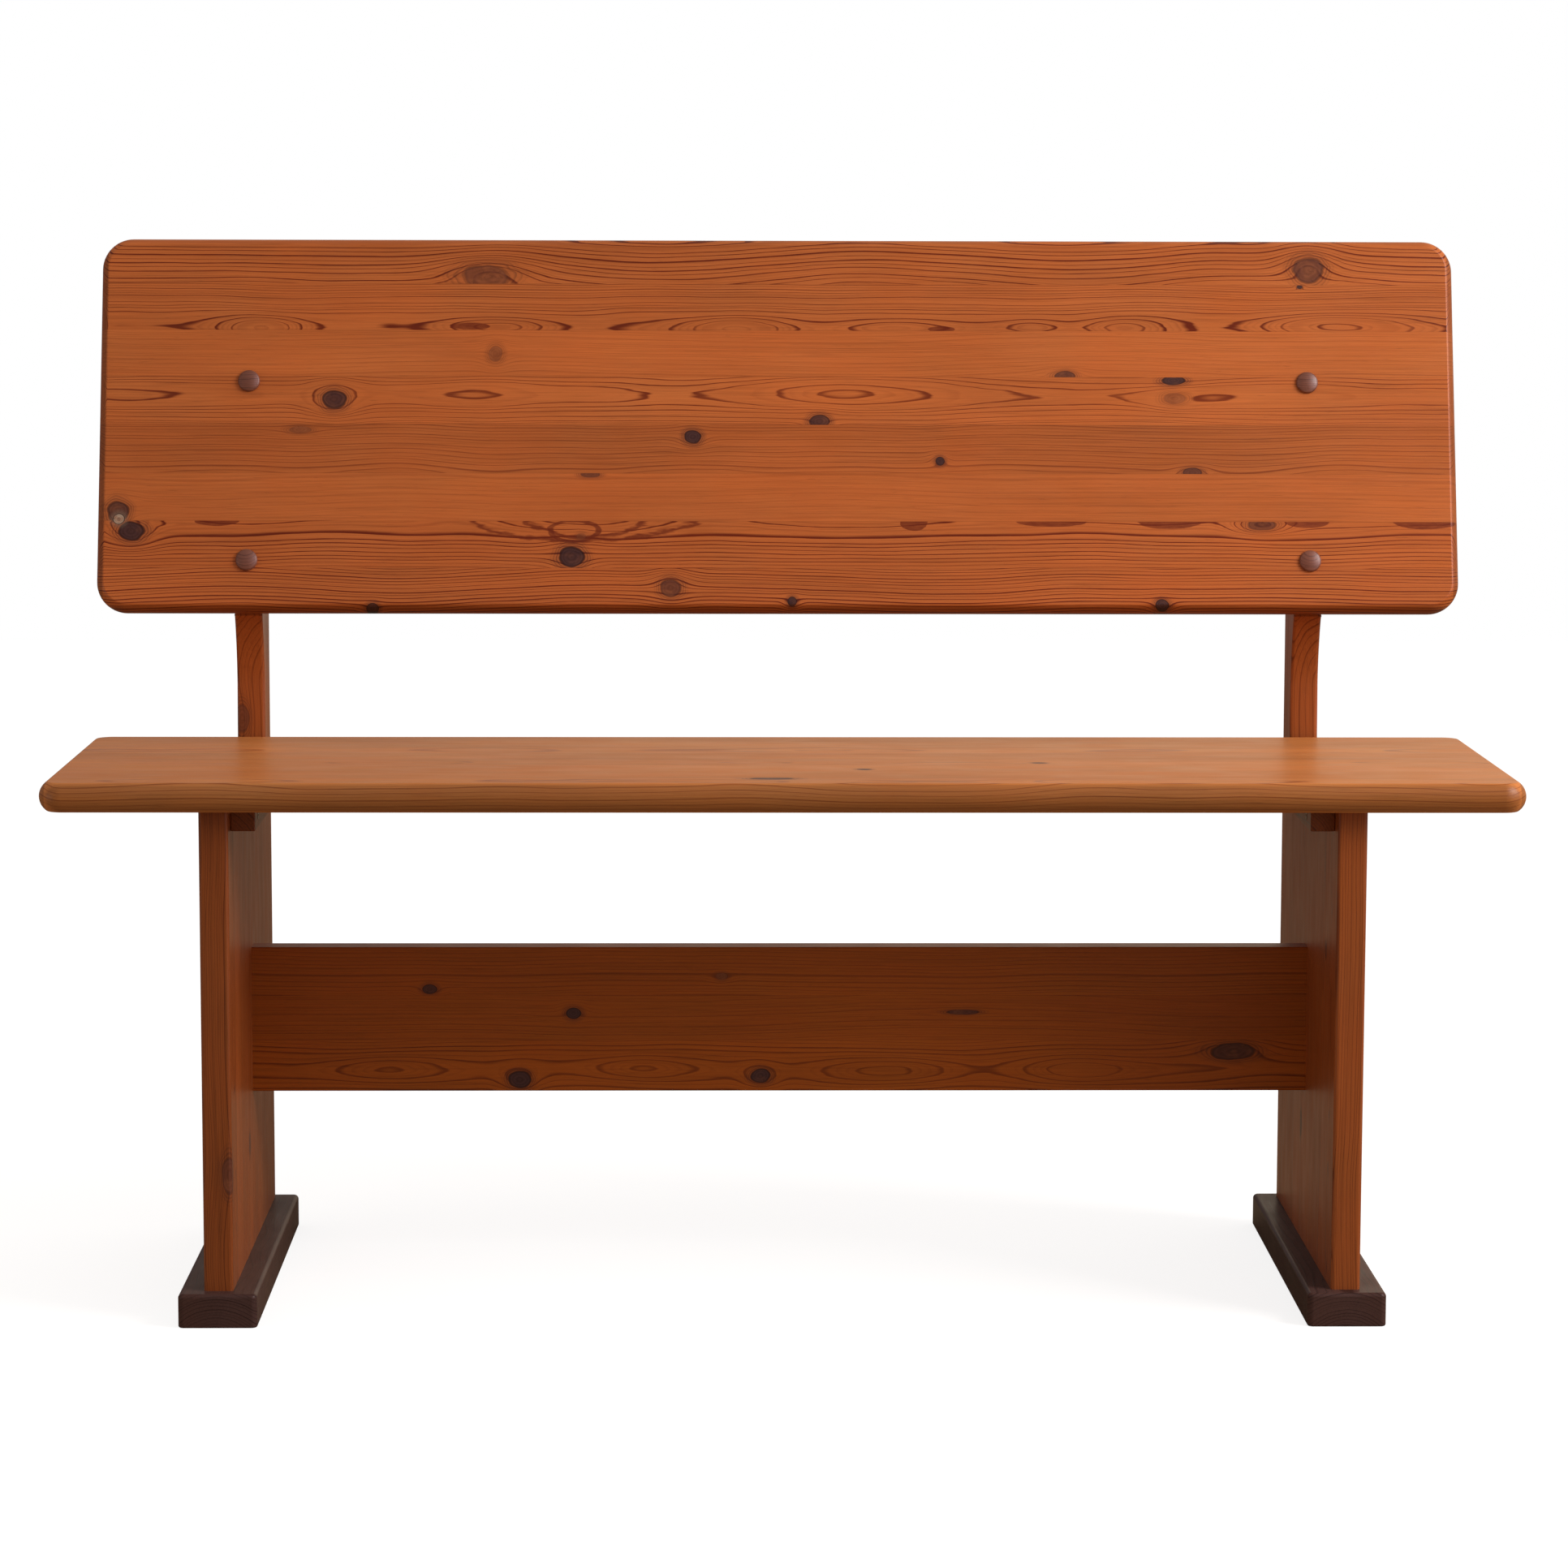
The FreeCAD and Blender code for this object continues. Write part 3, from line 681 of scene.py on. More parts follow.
def pine_material(
    name, wood, lying, grain, seed, glue=NO_GLUE, marks=(), nose=None, ends=None, gloss=LACQUER_GLOSS
):
    """Lacquered pine on a board that lies at a place and turn, between two glue lines across it.

    A nose gives how dark a painted shade makes the swelling edge at the board's own zero across. Ends gives
    how far from the middle the end grain starts, which comes out darker when stained.
    """
    material = bpy.data.materials.new(name)
    graph = empty_graph(material)
    early, late = getattr(finish(), wood + "_early"), getattr(finish(), wood + "_late")
    place, turn = lying
    coordinates = graph.node("TexCoord").outputs["Object"]
    values = {"Vector": coordinates, "Location": place, "Rotation": turn, "Scale": (MM, MM, MM)}
    base = graph.signal("Mapping", values, vector_type="TEXTURE")

    knots, eyes, flames = [[mark for mark in marks if isinstance(mark, kind)] for kind in (Knot, Eye, Flame)]
    bent, rings = base, 0.0
    for knot in knots:
        reach = [size * share for size, share in zip((knot.long, knot.wide, knot.through), KNOT_REACH)]
        bent, rings = graph.group(
            flow_group(), base=base, place=bent, rings=rings, centre=(knot.along, knot.across, knot.depth),
            reach=reach, push=KNOT_PUSH, extra=knot.rings,
        )
    for eye in eyes:
        bent, rings = graph.group(
            flow_group(), base=base, place=bent, rings=rings, centre=(eye.along, eye.across, 0.0),
            reach=(eye.long, eye.wide, THROUGH), push=0.0, extra=eye.rings,
        )
    colour, height, late_share = graph.group(
        rings_group(), base=base, place=bent, rings=rings, pith=(0.0, grain.across, grain.depth),
        drift=grain.drift, wander=grain.wander, spacing=grain.spacing, contrast=grain.contrast, seed=seed,
        early=early, late=late, shade=grain.shade,
    )
    for flame in flames:
        colour = graph.group(
            flame_group(), base=base, colour=colour, centre=(flame.along, flame.across, 0.0),
            radii=(flame.long, flame.wide, THROUGH), edge=flame.edge, late=late,
        )[0]
    for knot in knots:
        middle = blended(finish().live_knot, finish().dead_knot, knot.dead)
        pale = blended(finish().knot_patch, middle, 0.8 * knot.dead)
        if knot.stopped:
            middle, pale = finish().filler, finish().knot_patch
        colour, height = graph.group(
            knot_group(), base=base, colour=colour, height=height, middle=middle, pale=pale,
            centre=(knot.along, knot.across, knot.depth), radii=(knot.long, knot.wide, knot.through),
            rim=finish().knot_rim, strength=0.55 + 0.4 * knot.dead, bark=0.25 + 0.6 * knot.dead,
        )

    along, across, _depth = graph.split(base)
    low, high = glue
    # The glue lines and the end grain are darker with stain; the darker nose is painted shade
    stain_and_nose_shade = graph.step(across - low, 0.0, GLUE_LINE_WIDTH, GLUE_SHADE)
    stain_and_nose_shade *= graph.step(high - across, 0.0, GLUE_LINE_WIDTH, GLUE_SHADE)
    # Painted shade: a darker colour on a stave's nose stands for the shade on that edge
    if nose:
        stain_and_nose_shade *= graph.step(across, *NOSE_PAINTED_SHADE_FADE, nose)
    if ends:
        from_middle = graph.math("ABSOLUTE", along)
        stain_and_nose_shade *= graph.step(from_middle, ends, ends + END_GRAIN_FADE, 1.0, END_GRAIN_SHADE)
    smear = graph.noise(base, (0.02, 0.05, 0.05), seed + 3.0, 3.0)
    bump = graph.node("Bump", {"Strength": 0.35, "Distance": 0.25 * MM, "Height": height})
    shader = graph.node("BsdfPrincipled", {
        "Base Color": graph.tinted(colour, stain_and_nose_shade), "Roughness": smear * 0.22 + 0.4 - late_share * 0.06,
        "Normal": bump.outputs[0], "Specular IOR Level": gloss, "Coat Weight": 0.05, "Coat Roughness": 0.2,
    })
    graph.node("OutputMaterial", {"Surface": shader.outputs[0]})
    return material


# The seat

SEAT_GRAIN = [
    Grain(20, -30, 2.6, 0.75), Grain(-30, 10, 3.2, 0.45), Grain(200, 0, 3.6, 0.5, 1.04),
    Grain(150, -14, 3.4, 0.5), Grain(60, 8, 3.0, 0.4, 0.97), Grain(240, -20, 3.4, 0.55, 1.03),
    Grain(420, 0, 3.2, 0.45), Grain(260, -10, 3.0, 0.5, 0.98),
]
SEAT_MARKS = {
    1: [Knot(-10, 39, 17, 7, 1.5, 1.0)],
    3: [Knot(67, 102, 6, 4, 1.0, 1.0)],
    4: [Knot(214, 148, 6, 4, 1.0, 0.8)],
}
# The seat's front nose is darkened by painted shade
SEAT_LOOK = Look("seat", "seat", SEAT_GRAIN, seed=2.0, seed_step=7.3, marks=SEAT_MARKS, noses={1: 0.62})


def end_grain(length):
    """How far from the middle of a nosed board its end grain starts, in millimetres."""
    return (length / 2 - sizes().nose_bulge) / MM


class BENCH_OT_add_seat(bpy.types.Operator):
    """Adds the seat board, glued up from long staves, with a swelling nose all round"""

    bl_idname = "bench.add_seat"
    bl_label = "Add seat"

    def execute(self, context):
        low, high = joint_box(staves("seat"))
        size = high - low
        place = Vector((0, low.y, low.z))
        board = nosed_board(size.x, size.y, size.z, sizes().seat_corner)
        bmesh.ops.translate(board, vec=place, verts=board.verts[:])
        glue_lines = [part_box(node)[0].y for node in staves("seat")[1:]]
        add_staves(
            board, "seat", glue_lines, Y_AXIS, (place, (0, 0, 0)), SEAT_LOOK, zero=low.y,
            ends=end_grain(size.x),
        )
        return {"FINISHED"}


# The backrest, whose staves are numbered from the top

BACKREST_GRAIN = [
    Grain(246, -34, 3.0, 1.25, 0.99, 14.0), Grain(251.5, -23.08, 1.45, 0.95, 0.98, 4.0),
    Grain(120, 0, 3.0, 0.3, 1.04), Grain(191, -23.68, 1.35, 0.9, 1.03, 4.0),
    Grain(106, -14, 2.1, 0.65, 0.89), Grain(240, 0, 3.8, 0.2, 1.0), Grain(83, -30, 1.8, 1.3, 1.0, 5.0),
    Grain(-50, -6, 2.8, 1.15, 0.98),
]

# A hole on the glue line between two staves, which shows in both
STOPPED_HOLE = Knot(-572, 81, 5, 5, 0.0, 0.9, stopped=True)

BACKREST_MARKS = {
    1: [Knot(-256, 297, 21, 10, -2.6, 0.35), Knot(464, 304, 13, 11, -2.6, 0.6)],
    2: [Knot(456, 289, 2.4, 1.8, -1.5, 1.0), Eye(-449, 250, 34, 12, -3.6), Eye(-245, 252, 46, 9, -2.4),
        Eye(-38, 250, 44, 12, -3.2), Eye(110, 252, 70, 8, -1.6), Eye(222, 252, 30, 9, -1.8),
        Eye(300, 251, 34, 10, -2.0), Eye(478, 254, 62, 14, -3.8), Flame(-269, 252.5, 17, 3.0),
        Flame(142, 250.5, 12, 2.6)],
    3: [Knot(-247, 228, 6, 7, 0.8, 0.1), Knot(249, 209, 9, 4, -2.0, 0.7)],
    4: [Knot(-387, 187, 10, 8, -2.0, 0.9), Knot(35, 168, 8, 6, -1.0, 0.9), Knot(344, 205, 10, 4, 0.0, 1.0),
        Knot(345, 189, 10, 5, 0.0, 0.0), Eye(-590, 191, 120, 14, -1.6), Eye(-285, 193, 70, 14, -1.4),
        Eye(40, 194, 60, 16, -1.8), Eye(355, 188, 60, 14, -1.7)],
    5: [Knot(-75, 154, 7, 6, 1.5, 1.0), Knot(140, 133, 4, 4, -1.5, 1.0), Knot(360, 123, 8, 4, -1.5, 0.7),
        Knot(-416, 160, 10, 3, 0.5, 0.1)],
    6: [Knot(-164, 121, 8, 3, 0.8, 0.5), Knot(-573, 88, 9, 9, -1.5, 0.8), STOPPED_HOLE],
    7: [Knot(-561, 70, 11, 8, -2.0, 1.0), STOPPED_HOLE, Knot(-180, 48, 10.5, 9, -0.6, 1.0),
        Knot(-172, 66, 4, 3, 0.0, 0.0), Knot(419, 77, 12, 5, -3.0, 0.5), Eye(-165, 84, 64, 24, -2.0),
        Eye(60, 85, 90, 9, -1.0), Eye(290, 84, 70, 11, -1.3), Eye(545, 84, 60, 11, -1.3),
        Eye(-420, 84, 70, 9, -1.2), Flame(-178, 71, 25, 10, 0.2), Flame(-166, 84, 57, 20, 0.085),
        Flame(-172, 85, 104, 24, 0.055), Flame(117, 79, 12, 8.0), Flame(236, 80, 30, 5.0),
        Flame(339, 80, 27, 7.0), Flame(459, 80, 19, 6.0), Flame(562, 80, 26, 7.0), Flame(-487, 79, 20, 4.0)],
    8: [Knot(-94, 21, 9, 8, -1.0, 0.6), Knot(-352, 3, 5, 4, 1.0, 1.0), Knot(11, 9, 4, 4, 1.0, 1.0),
        Knot(332, 6, 6, 5, 1.5, 1.0)],
}
# The backrest's lowest nose, which faces down, is darkened by painted shade
BACKREST_LOOK = Look(
    "backrest", "backrest", BACKREST_GRAIN, seed=41.0, seed_step=5.7, marks=BACKREST_MARKS, noses={8: 0.5}
)


def backrest_shape():
    """The leaning board, worked out from the boxes that its staves fill.

    Base is its lower back edge, turn stands it up from lying flat, and the glue lines are measured along
    the board from its foot.
    """
    boxes = [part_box(node) for node in staves("backrest")]
    low, high = joint_box(staves("backrest"))
    lean = sizes().backrest_lean
    sine, cosine = math.sin(lean), math.cos(lean)
    inner_stave = boxes[2][1] - boxes[2][0]
    thickness = (inner_stave.y * cosine - inner_stave.z * sine) / math.cos(2 * lean)
    radius = nose_radius(thickness)
    base_y = low.y - sizes().nose_bulge * sine + thickness * cosine
    base_z = low.z + radius * (1 - cosine) - thickness / 2 * sine
    return SimpleNamespace(
        base=Vector((0, base_y, base_z)),
        turn=(math.pi / 2 - lean, 0, 0),
        length=high.x - low.x,
        thickness=thickness,
        height=(high.z - radius - thickness / 2 * sine - base_z) / cosine + radius,
        glue_lines=[(box[1].z - base_z - thickness * sine) / cosine for box in boxes[1:]],
    )


class BENCH_OT_add_backrest(bpy.types.Operator):
    """Adds the leaning backrest board, glued up from eight long staves"""

    bl_idname = "bench.add_backrest"
    bl_label = "Add backrest"

    def execute(self, context):
        shape = backrest_shape()
        board = nosed_board(shape.length, shape.height, shape.thickness, sizes().backrest_corner)
        stand = Matrix.Translation(shape.base) @ Euler(shape.turn).to_matrix().to_4x4()
        add_staves(
            board, "backrest", shape.glue_lines, Y_AXIS, (shape.base, shape.turn), BACKREST_LOOK,
            ends=end_grain(shape.length), stand=stand,
        )
        return {"FINISHED"}


# The end panels, each with its post

PANEL_GRAIN = [
    Grain(30, -46, 2.3, 0.7, 0.95), Grain(80, -16, 3.2, 0.6, 1.05), Grain(170, 6, 3.4, 0.5, 0.97),
    Grain(60, 0, 3.0, 0.55, 1.06), Grain(240, -14, 3.4, 0.55, 1.0), Grain(330, 0, 3.0, 0.5, 1.07),
    Grain(200, 4, 3.2, 0.55, 0.96), Grain(352, -20, 3.4, 0.7, 1.02), Grain(420, 0, 2.8, 0.75, 1.0),
    Grain(300, 0, 3.0, 0.7, 0.97),
]
# Painted shade: each panel's front stave is darker, the left one much darker, standing for the shade on the
# panels' fronts
PANEL_FRONT_PAINTED_SHADE = {"left": 0.76, "right": 0.93}
PANEL_MARKS = {
    "left": {
        1: [Knot(124, 0, 15, 9, 1.0, 0.5, -10.0, 6.0)],
        4: [Knot(120, 150, 9, 6, 2.0, 0.7)],
        8: [Knot(463, 325, 13, 8, 1.0, 0.35, 8.0, 6.0)],
    },
    "right": {2: [Knot(300, 66, 7, 5, 1.5, 0.4)], 5: [Knot(126, 209, 11, 5, 1.5, 0.9)]},
}
PANEL_SEED = {"left": 5.0, "right": 22.0}
PANEL_SEED_STEP = 3.1

# How far behind a glue line a panel is sawn, so that the cut clears the outline's own corners
PANEL_CUT_RELIEF = 0.05 * MM


def round_corner(bm, place, offset, segments):
    """Rounds, or with one segment cuts, the corner of a flat outline that lies nearest to a place."""
    nearest = min(bm.verts, key=lambda vert: (vert.co - place).length)
    bevel(bm, [nearest], offset, segments, affect="VERTICES")


def panel_board(side):
    """A panel and its post: their side view, pulled to the panel's thickness, with rounded long edges."""
    low, high = joint_box(staves(side + "_panel"))
    seat_low, seat_high = joint_box(staves("seat"))
    given = sizes()
    lean = given.backrest_lean
    base = backrest_shape().base
    post_front = base.y + given.post_sweep
    panel_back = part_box(side + "_panel_stave_9")[1].y
    sweep_radius = (given.post_sweep_height ** 2 + given.post_sweep ** 2) / (2 * given.post_sweep)
    tangent = sweep_radius * given.post_sweep / given.post_sweep_height
    foot_of_rest = Vector((low.x, base.y, base.z))
    top_front = foot_of_rest + Vector((0, math.tan(lean), 1)) * (high.z - base.z)
    top_back = top_front + Vector((0, given.post_top_depth, 0))
    bend_corner = Vector((low.x, panel_back, seat_high.z + given.post_bend_lift))
    sweep_corner = Vector((low.x, post_front, base.z - given.post_sweep_height + tangent))
    corners = [
        low, Vector((low.x, low.y, seat_low.z)), Vector((low.x, post_front, seat_low.z)), sweep_corner,
        foot_of_rest, top_front, top_back, bend_corner, Vector((low.x, panel_back, low.z)),
    ]
    bm = bmesh.new()
    verts = [bm.verts.new(corner) for corner in corners]
    edges = [bm.edges.new((verts[index - 1], vert)) for index, vert in enumerate(verts)]
    bmesh.ops.edgeloop_fill(bm, edges=edges)
    bend_turn = (top_back - bend_corner).angle(Z_AXIS)
    round_corner(bm, bend_corner, given.post_bend * math.tan(bend_turn / 2), ARC_STEPS)
    round_corner(bm, top_back, given.post_top_cut, segments=1)
    round_corner(bm, sweep_corner, tangent, ARC_STEPS)
    bmesh.ops.remove_doubles(bm, verts=bm.verts[:], dist=OUTLINE_WELD)
    nose_turn = 2 * math.atan(given.post_sweep / given.post_sweep_height) + lean
    round_corner(bm, foot_of_rest, given.post_nose * math.tan(nose_turn / 2), segments=5)
    pulled = bmesh.ops.extrude_face_region(bm, geom=bm.faces[:])["geom"]
    bmesh.ops.translate(bm, vec=(high.x - low.x, 0, 0), verts=verts_of(pulled))
    close_up(bm)
    long_edges = [edge for edge in bm.edges if run(edge, X_AXIS) < NEAR and run(edge, Z_AXIS) > NEAR]
    bevel(bm, long_edges, given.panel_edge, segments=5)
    close_up(bm)
    return bm


class BENCH_OT_add_panels(bpy.types.Operator):
    """Adds the two end panels, each sawn with its post from a board of upright staves"""

    bl_idname = "bench.add_panels"
    bl_label = "Add end panels"

    def execute(self, context):
        for side in SIDES:
            board = side + "_panel"
            low, high = joint_box(staves(board))
            glue_lines = [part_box(node)[0].y + PANEL_CUT_RELIEF for node in staves(board)[1:]]
            lying = (((low.x + high.x) / 2, low.y, 0), (0, -math.pi / 2, 0))
            # The front stave takes the panel's painted front shade
            grains = [PANEL_GRAIN[0]._replace(shade=PANEL_FRONT_PAINTED_SHADE[side])] + PANEL_GRAIN[1:]
            look = Look("panel", "end_panels", grains, PANEL_SEED[side], PANEL_SEED_STEP, PANEL_MARKS[side])
            add_staves(panel_board(side), board, glue_lines, Y_AXIS, lying, look, zero=low.y)
        return {"FINISHED"}


# The stretcher, whose staves are numbered from the top

STRETCHER_GRAIN = [
    Grain(20, 0, 3.0, 0.5, 0.98), Grain(150, 0, 2.8, 0.42, 0.93), Grain(18, -16, 1.6, 0.75, 1.04, 6.0),
]
STRETCHER_MARKS = {
    1: [Knot(-298, 88, 6, 4, 1.5, 0.9), Knot(-50, 99, 5, 3, 0.8, 0.3)],
    2: [Knot(-176, 67, 6, 5, 1.2, 1.0), Knot(155, 68, 13, 2, 0.6, 0.8)],
    3: [Knot(-222, 10, 9, 7, -2.0, 1.0), Knot(-17, 13, 8, 6, -2.0, 1.0), Knot(386, 34, 18, 7, -2.5, 0.8),
        Eye(-340, 20, 50, 14, -2.6), Eye(-120, 20, 40, 12, -2.2), Eye(100, 18, 60, 14, -2.8),
        Eye(260, 18, 50, 12, -2.4)],
}
STRETCHER_LOOK = Look(
    "stretcher", "stretcher", STRETCHER_GRAIN, seed=63.0, seed_step=9.0, marks=STRETCHER_MARKS
)


class BENCH_OT_add_stretcher(bpy.types.Operator):
    """Adds the stretcher board that ties the two end panels together"""

    bl_idname = "bench.add_stretcher"
    bl_label = "Add stretcher"

    def execute(self, context):
        low, high = joint_box(staves("stretcher"))
        board = box_mesh(low, high)
        long_edges = [edge for edge in board.edges if run(edge, X_AXIS) > NEAR]
        bevel(board, long_edges, sizes().stretcher_edge, segments=4)
        close_up(board)
        glue_lines = [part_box(node)[1].z for node in staves("stretcher")[1:]]
        lying = ((0, high.y, low.z), (math.pi / 2, 0, 0))
        add_staves(board, "stretcher", glue_lines, Z_AXIS, lying, STRETCHER_LOOK, zero=low.z)
        return {"FINISHED"}


# The sled feet and the cleats

FOOT_GRAIN = Grain(0, -30, 2.6, 0.8)
FOOT_SEED = {"left": 88.0, "right": 94.0}
CLEAT_GRAIN = Grain(30, -20, 2.4, 0.7, 0.62)
CLEAT_SEED = {"left": 97.0, "right": 101.0}


def lengthwise(low, high, bottom):
    """The place and turn of the grain in a piece that lies along the depth of the bench."""
    return ((low.x + high.x) / 2, (low.y + high.y) / 2, bottom), (0, 0, math.pi / 2)


def bored(piece_mesh, places):
    """Takes round bores for the screws out of a mesh, from below.

    The two objects that this takes go with their meshes, which are removed at the end.
    """
    cutter = bmesh.new()
    radius, depth = sizes().bore_radius, sizes().bore_depth
    for place in places:
        bmesh.ops.create_cone(
            cutter, cap_ends=True, segments=BORE_SIDES, radius1=radius, radius2=radius, depth=2 * depth,
            matrix=Matrix.Translation((place.x, place.y, 0)),
        )
    whole, bores = [placed("boring", mesh_of(bm, "boring")) for bm in (piece_mesh, cutter)]
    boring = whole.modifiers.new("boring", "BOOLEAN")
    boring.operation = "DIFFERENCE"
    boring.object = bores
    bpy.context.view_layer.update()
    done = bpy.data.meshes.new_from_object(whole.evaluated_get(bpy.context.evaluated_depsgraph_get()))
    result = bmesh.new()
    result.from_mesh(done)
    for mesh in (whole.data, bores.data, done):
        bpy.data.meshes.remove(mesh)
    close_up(result)
    return result


class BENCH_OT_add_feet(bpy.types.Operator):
    """Adds the two sled feet, with the screw bores in their soles"""

    bl_idname = "bench.add_feet"
    bl_label = "Add feet"

    def execute(self, context):
        heads = [place for place, _up in near_ends("foot_screws", upwards)]
        for side in SIDES:
            node = side + "_foot"
            low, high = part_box(node)
            bm = box_mesh(low, high)
            upright = [edge for edge in bm.edges if run(edge, Z_AXIS) > NEAR]
            bevel(bm, upright, sizes().foot_corner, segments=6)
            top = [edge for edge in bm.edges if min(vert.co.z for vert in edge.verts) > high.z - NEAR]
            bevel(bm, top, sizes().foot_edge, segments=5)
            sole = [edge for edge in bm.edges if max(vert.co.z for vert in edge.verts) < low.z + NEAR]
            bevel(bm, sole, sizes().sole_edge, segments=3)
            close_up(bm)
            material = pine_material(
                "stained_pine_" + side, "foot", lengthwise(low, high, 0), FOOT_GRAIN, FOOT_SEED[side],
                gloss=STAIN_GLOSS,
            )
            own_heads = [place for place in heads if low.x < place.x < high.x]
            add_piece(bored(bm, own_heads), side + "_sled_foot", material, [node], "feet")
        return {"FINISHED"}


class BENCH_OT_add_cleats(bpy.types.Operator):
    """Adds the two battens in the corner between seat and panels"""

    bl_idname = "bench.add_cleats"
    bl_label = "Add cleats"

    def execute(self, context):
        for side in SIDES:
            node = side + "_cleat"
            low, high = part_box(node)
            bm = box_mesh(low, high)
            bevel(bm, bm.edges[:], sizes().cleat_edge, segments=3)
            close_up(bm)
            lying = lengthwise(low, high, low.z)
            material = pine_material("pine_cleat_" + side, "panel", lying, CLEAT_GRAIN, CLEAT_SEED[side])
            add_piece(bm, side + "_batten", material, [node], "cleats")
        return {"FINISHED"}


# The plugs and screws

PLUG_GRAIN = Grain(0, -60, 1.6, 0.7)
PLUG_SEED = {"backrest": 71.0, "panel": 76.0}

Screw = namedtuple("Screw", "length radius head_radius head_height")
LONG_SCREW = Screw(55 * MM, 2.5 * MM, 4.8 * MM, 3.2 * MM)
SHORT_SCREW = Screw(34 * MM, 2.0 * MM, 4.0 * MM, 2.6 * MM)
SCREWS = {
    "backrest": (LONG_SCREW, into_backrest),
    "stretcher": (LONG_SCREW, inwards),
    "cleat": (SHORT_SCREW, outwards),
    "seat": (SHORT_SCREW, upwards),
    "foot": (LONG_SCREW, upwards),
}

# Shares of the shank's width at the tip, and of the head's radius and height in the slot
SCREW_TIP_SHARE = 0.35
SLOT_WIDTH_SHARE = 0.13
SLOT_DEPTH_SHARE = 0.4

# How far a slotted head stands before the plain screw that it replaces
SCREW_PROUD = 0.25 * MM


def aim(place, direction):
    """The matrix that stands a shape made along Z at a place and points it in a direction."""
    return Matrix.Translation(place) @ Z_AXIS.rotation_difference(direction).to_matrix().to_4x4()


def button():
    """A wooden plug, its foot below zero, its rim and dome above the board's face at zero."""
    given = sizes()
    radius, dome = given.plug_radius, given.plug_dome
    bm = bmesh.new()
    dome_radius = (radius ** 2 + dome ** 2) / (2 * dome)
    top = given.plug_rim + dome
    bmesh.ops.spin(
        bm, geom=[bm.verts.new((0, 0, top))], cent=(0, 0, top - dome_radius), axis=Y_AXIS,
        angle=math.asin(radius / dome_radius), steps=DOME_STEPS, use_merge=False,
    )
    rim = max(bm.verts, key=lambda vert: vert.co.x)
    rim.co = Vector((radius, 0, given.plug_rim))
    foot = bmesh.ops.extrude_vert_indiv(bm, verts=[rim])["verts"][0]
    foot.co = Vector((radius, 0, -given.plug_depth))
    bmesh.ops.spin(
        bm, geom=bm.verts[:] + bm.edges[:], cent=(0, 0, 0), axis=Z_AXIS, angle=2 * math.pi,
        steps=BUTTON_SIDES, use_merge=True,
    )
    close_up(bm)
    on_rim = {
        vert for vert in bm.verts
        if abs(vert.co.z - given.plug_rim) < NEAR / 2 and vert.co.xy.length > radius - NEAR / 2
    }
    rim_edges = [edge for edge in bm.edges if on_rim.issuperset(edge.verts)]
    bevel(bm, rim_edges, given.plug_rounding, segments=4)
    close_up(bm)
    return bm


def merged(parts):
    """One mesh from several, each given with its matrix."""
    whole = bmesh.new()
    for part, matrix in parts:
        bmesh.ops.transform(part, matrix=matrix, verts=part.verts[:])
        carrier = mesh_of(part, "part")
        whole.from_mesh(carrier)
        bpy.data.meshes.remove(carrier)
    bmesh.ops.recalc_face_normals(whole, faces=whole.faces[:])
    return whole


def add_buttons(board, heading, face_of, lying):
    """Adds the plugs of a board, on the face that lies at a distance along each plug's heading."""
    parts = []
    for place, direction in near_ends(board + "_plugs", heading):
        on_face = place + direction * (face_of(direction) - place.dot(direction))
        parts.append((button(), aim(on_face, direction)))
    name = board + "_buttons"
    material = pine_material("pine_" + name, "plug", lying, PLUG_GRAIN, PLUG_SEED[board], gloss=PLUG_GLOSS)
    add_piece(merged(parts), name, material, [board + "_plugs"], "plugs")


class BENCH_OT_add_plugs(bpy.types.Operator):
    """Adds the domed wooden plugs that cover the screws in the backrest and the panels"""

    bl_idname = "bench.add_plugs"
    bl_label = "Add plugs"

    def execute(self, context):
        shape = backrest_shape()
        low, high = joint_box(staves("left_panel") + staves("right_panel"))

        def backrest_face(direction):
            return shape.base.dot(direction) + shape.thickness

        def panel_face(direction):
            return max(low.dot(direction), high.dot(direction))

        add_buttons("backrest", out_of_backrest, backrest_face, (shape.base, shape.turn))
        add_buttons("panel", outwards, panel_face, ((0, 0, 0), (0, -math.pi / 2, 0)))
        return {"FINISHED"}


def slotted_screw(screw):
    """A countersunk screw whose slotted head lies at zero and which points along Z."""
    bm = bmesh.new()
    bmesh.ops.create_cone(
        bm, cap_ends=True, segments=SCREW_SIDES, radius1=screw.head_radius, radius2=screw.radius,
        depth=screw.head_height, matrix=Matrix.Translation((0, 0, screw.head_height / 2)),
    )
    shank = max(bm.faces, key=lambda face: face.calc_center_median().z)
    tip = verts_of(bmesh.ops.extrude_face_region(bm, geom=[shank])["geom"])
    bmesh.ops.delete(bm, geom=[shank], context="FACES_ONLY")
    bmesh.ops.translate(bm, vec=(0, 0, screw.length - screw.head_height), verts=tip)
    bmesh.ops.scale(bm, vec=(SCREW_TIP_SHARE, SCREW_TIP_SHARE, 1.0), verts=tip)
    half_slot = screw.head_radius * SLOT_WIDTH_SHARE
    for edge_of_slot in (half_slot, -half_slot):
        head = {face for face in bm.faces if face.calc_center_median().z < NEAR / 10}
        for face in list(head):
            head.update(face.edges)
            head.update(face.verts)
        bmesh.ops.bisect_plane(
            bm, geom=list(head), dist=CUT_WIDTH, plane_co=(edge_of_slot, 0, 0), plane_no=X_AXIS
        )
    slot = []
    for face in bm.faces:
        middle = face.calc_center_median()
        if middle.z < NEAR / 10 and abs(middle.x) < half_slot / 2:
            slot.append(face)
    sunk = bmesh.ops.extrude_discrete_faces(bm, faces=slot)["faces"]
    depth = screw.head_height * SLOT_DEPTH_SHARE
    bmesh.ops.translate(bm, vec=(0, 0, depth), verts=[vert for face in sunk for vert in face.verts])
    bmesh.ops.recalc_face_normals(bm, faces=bm.faces[:])
    return bm


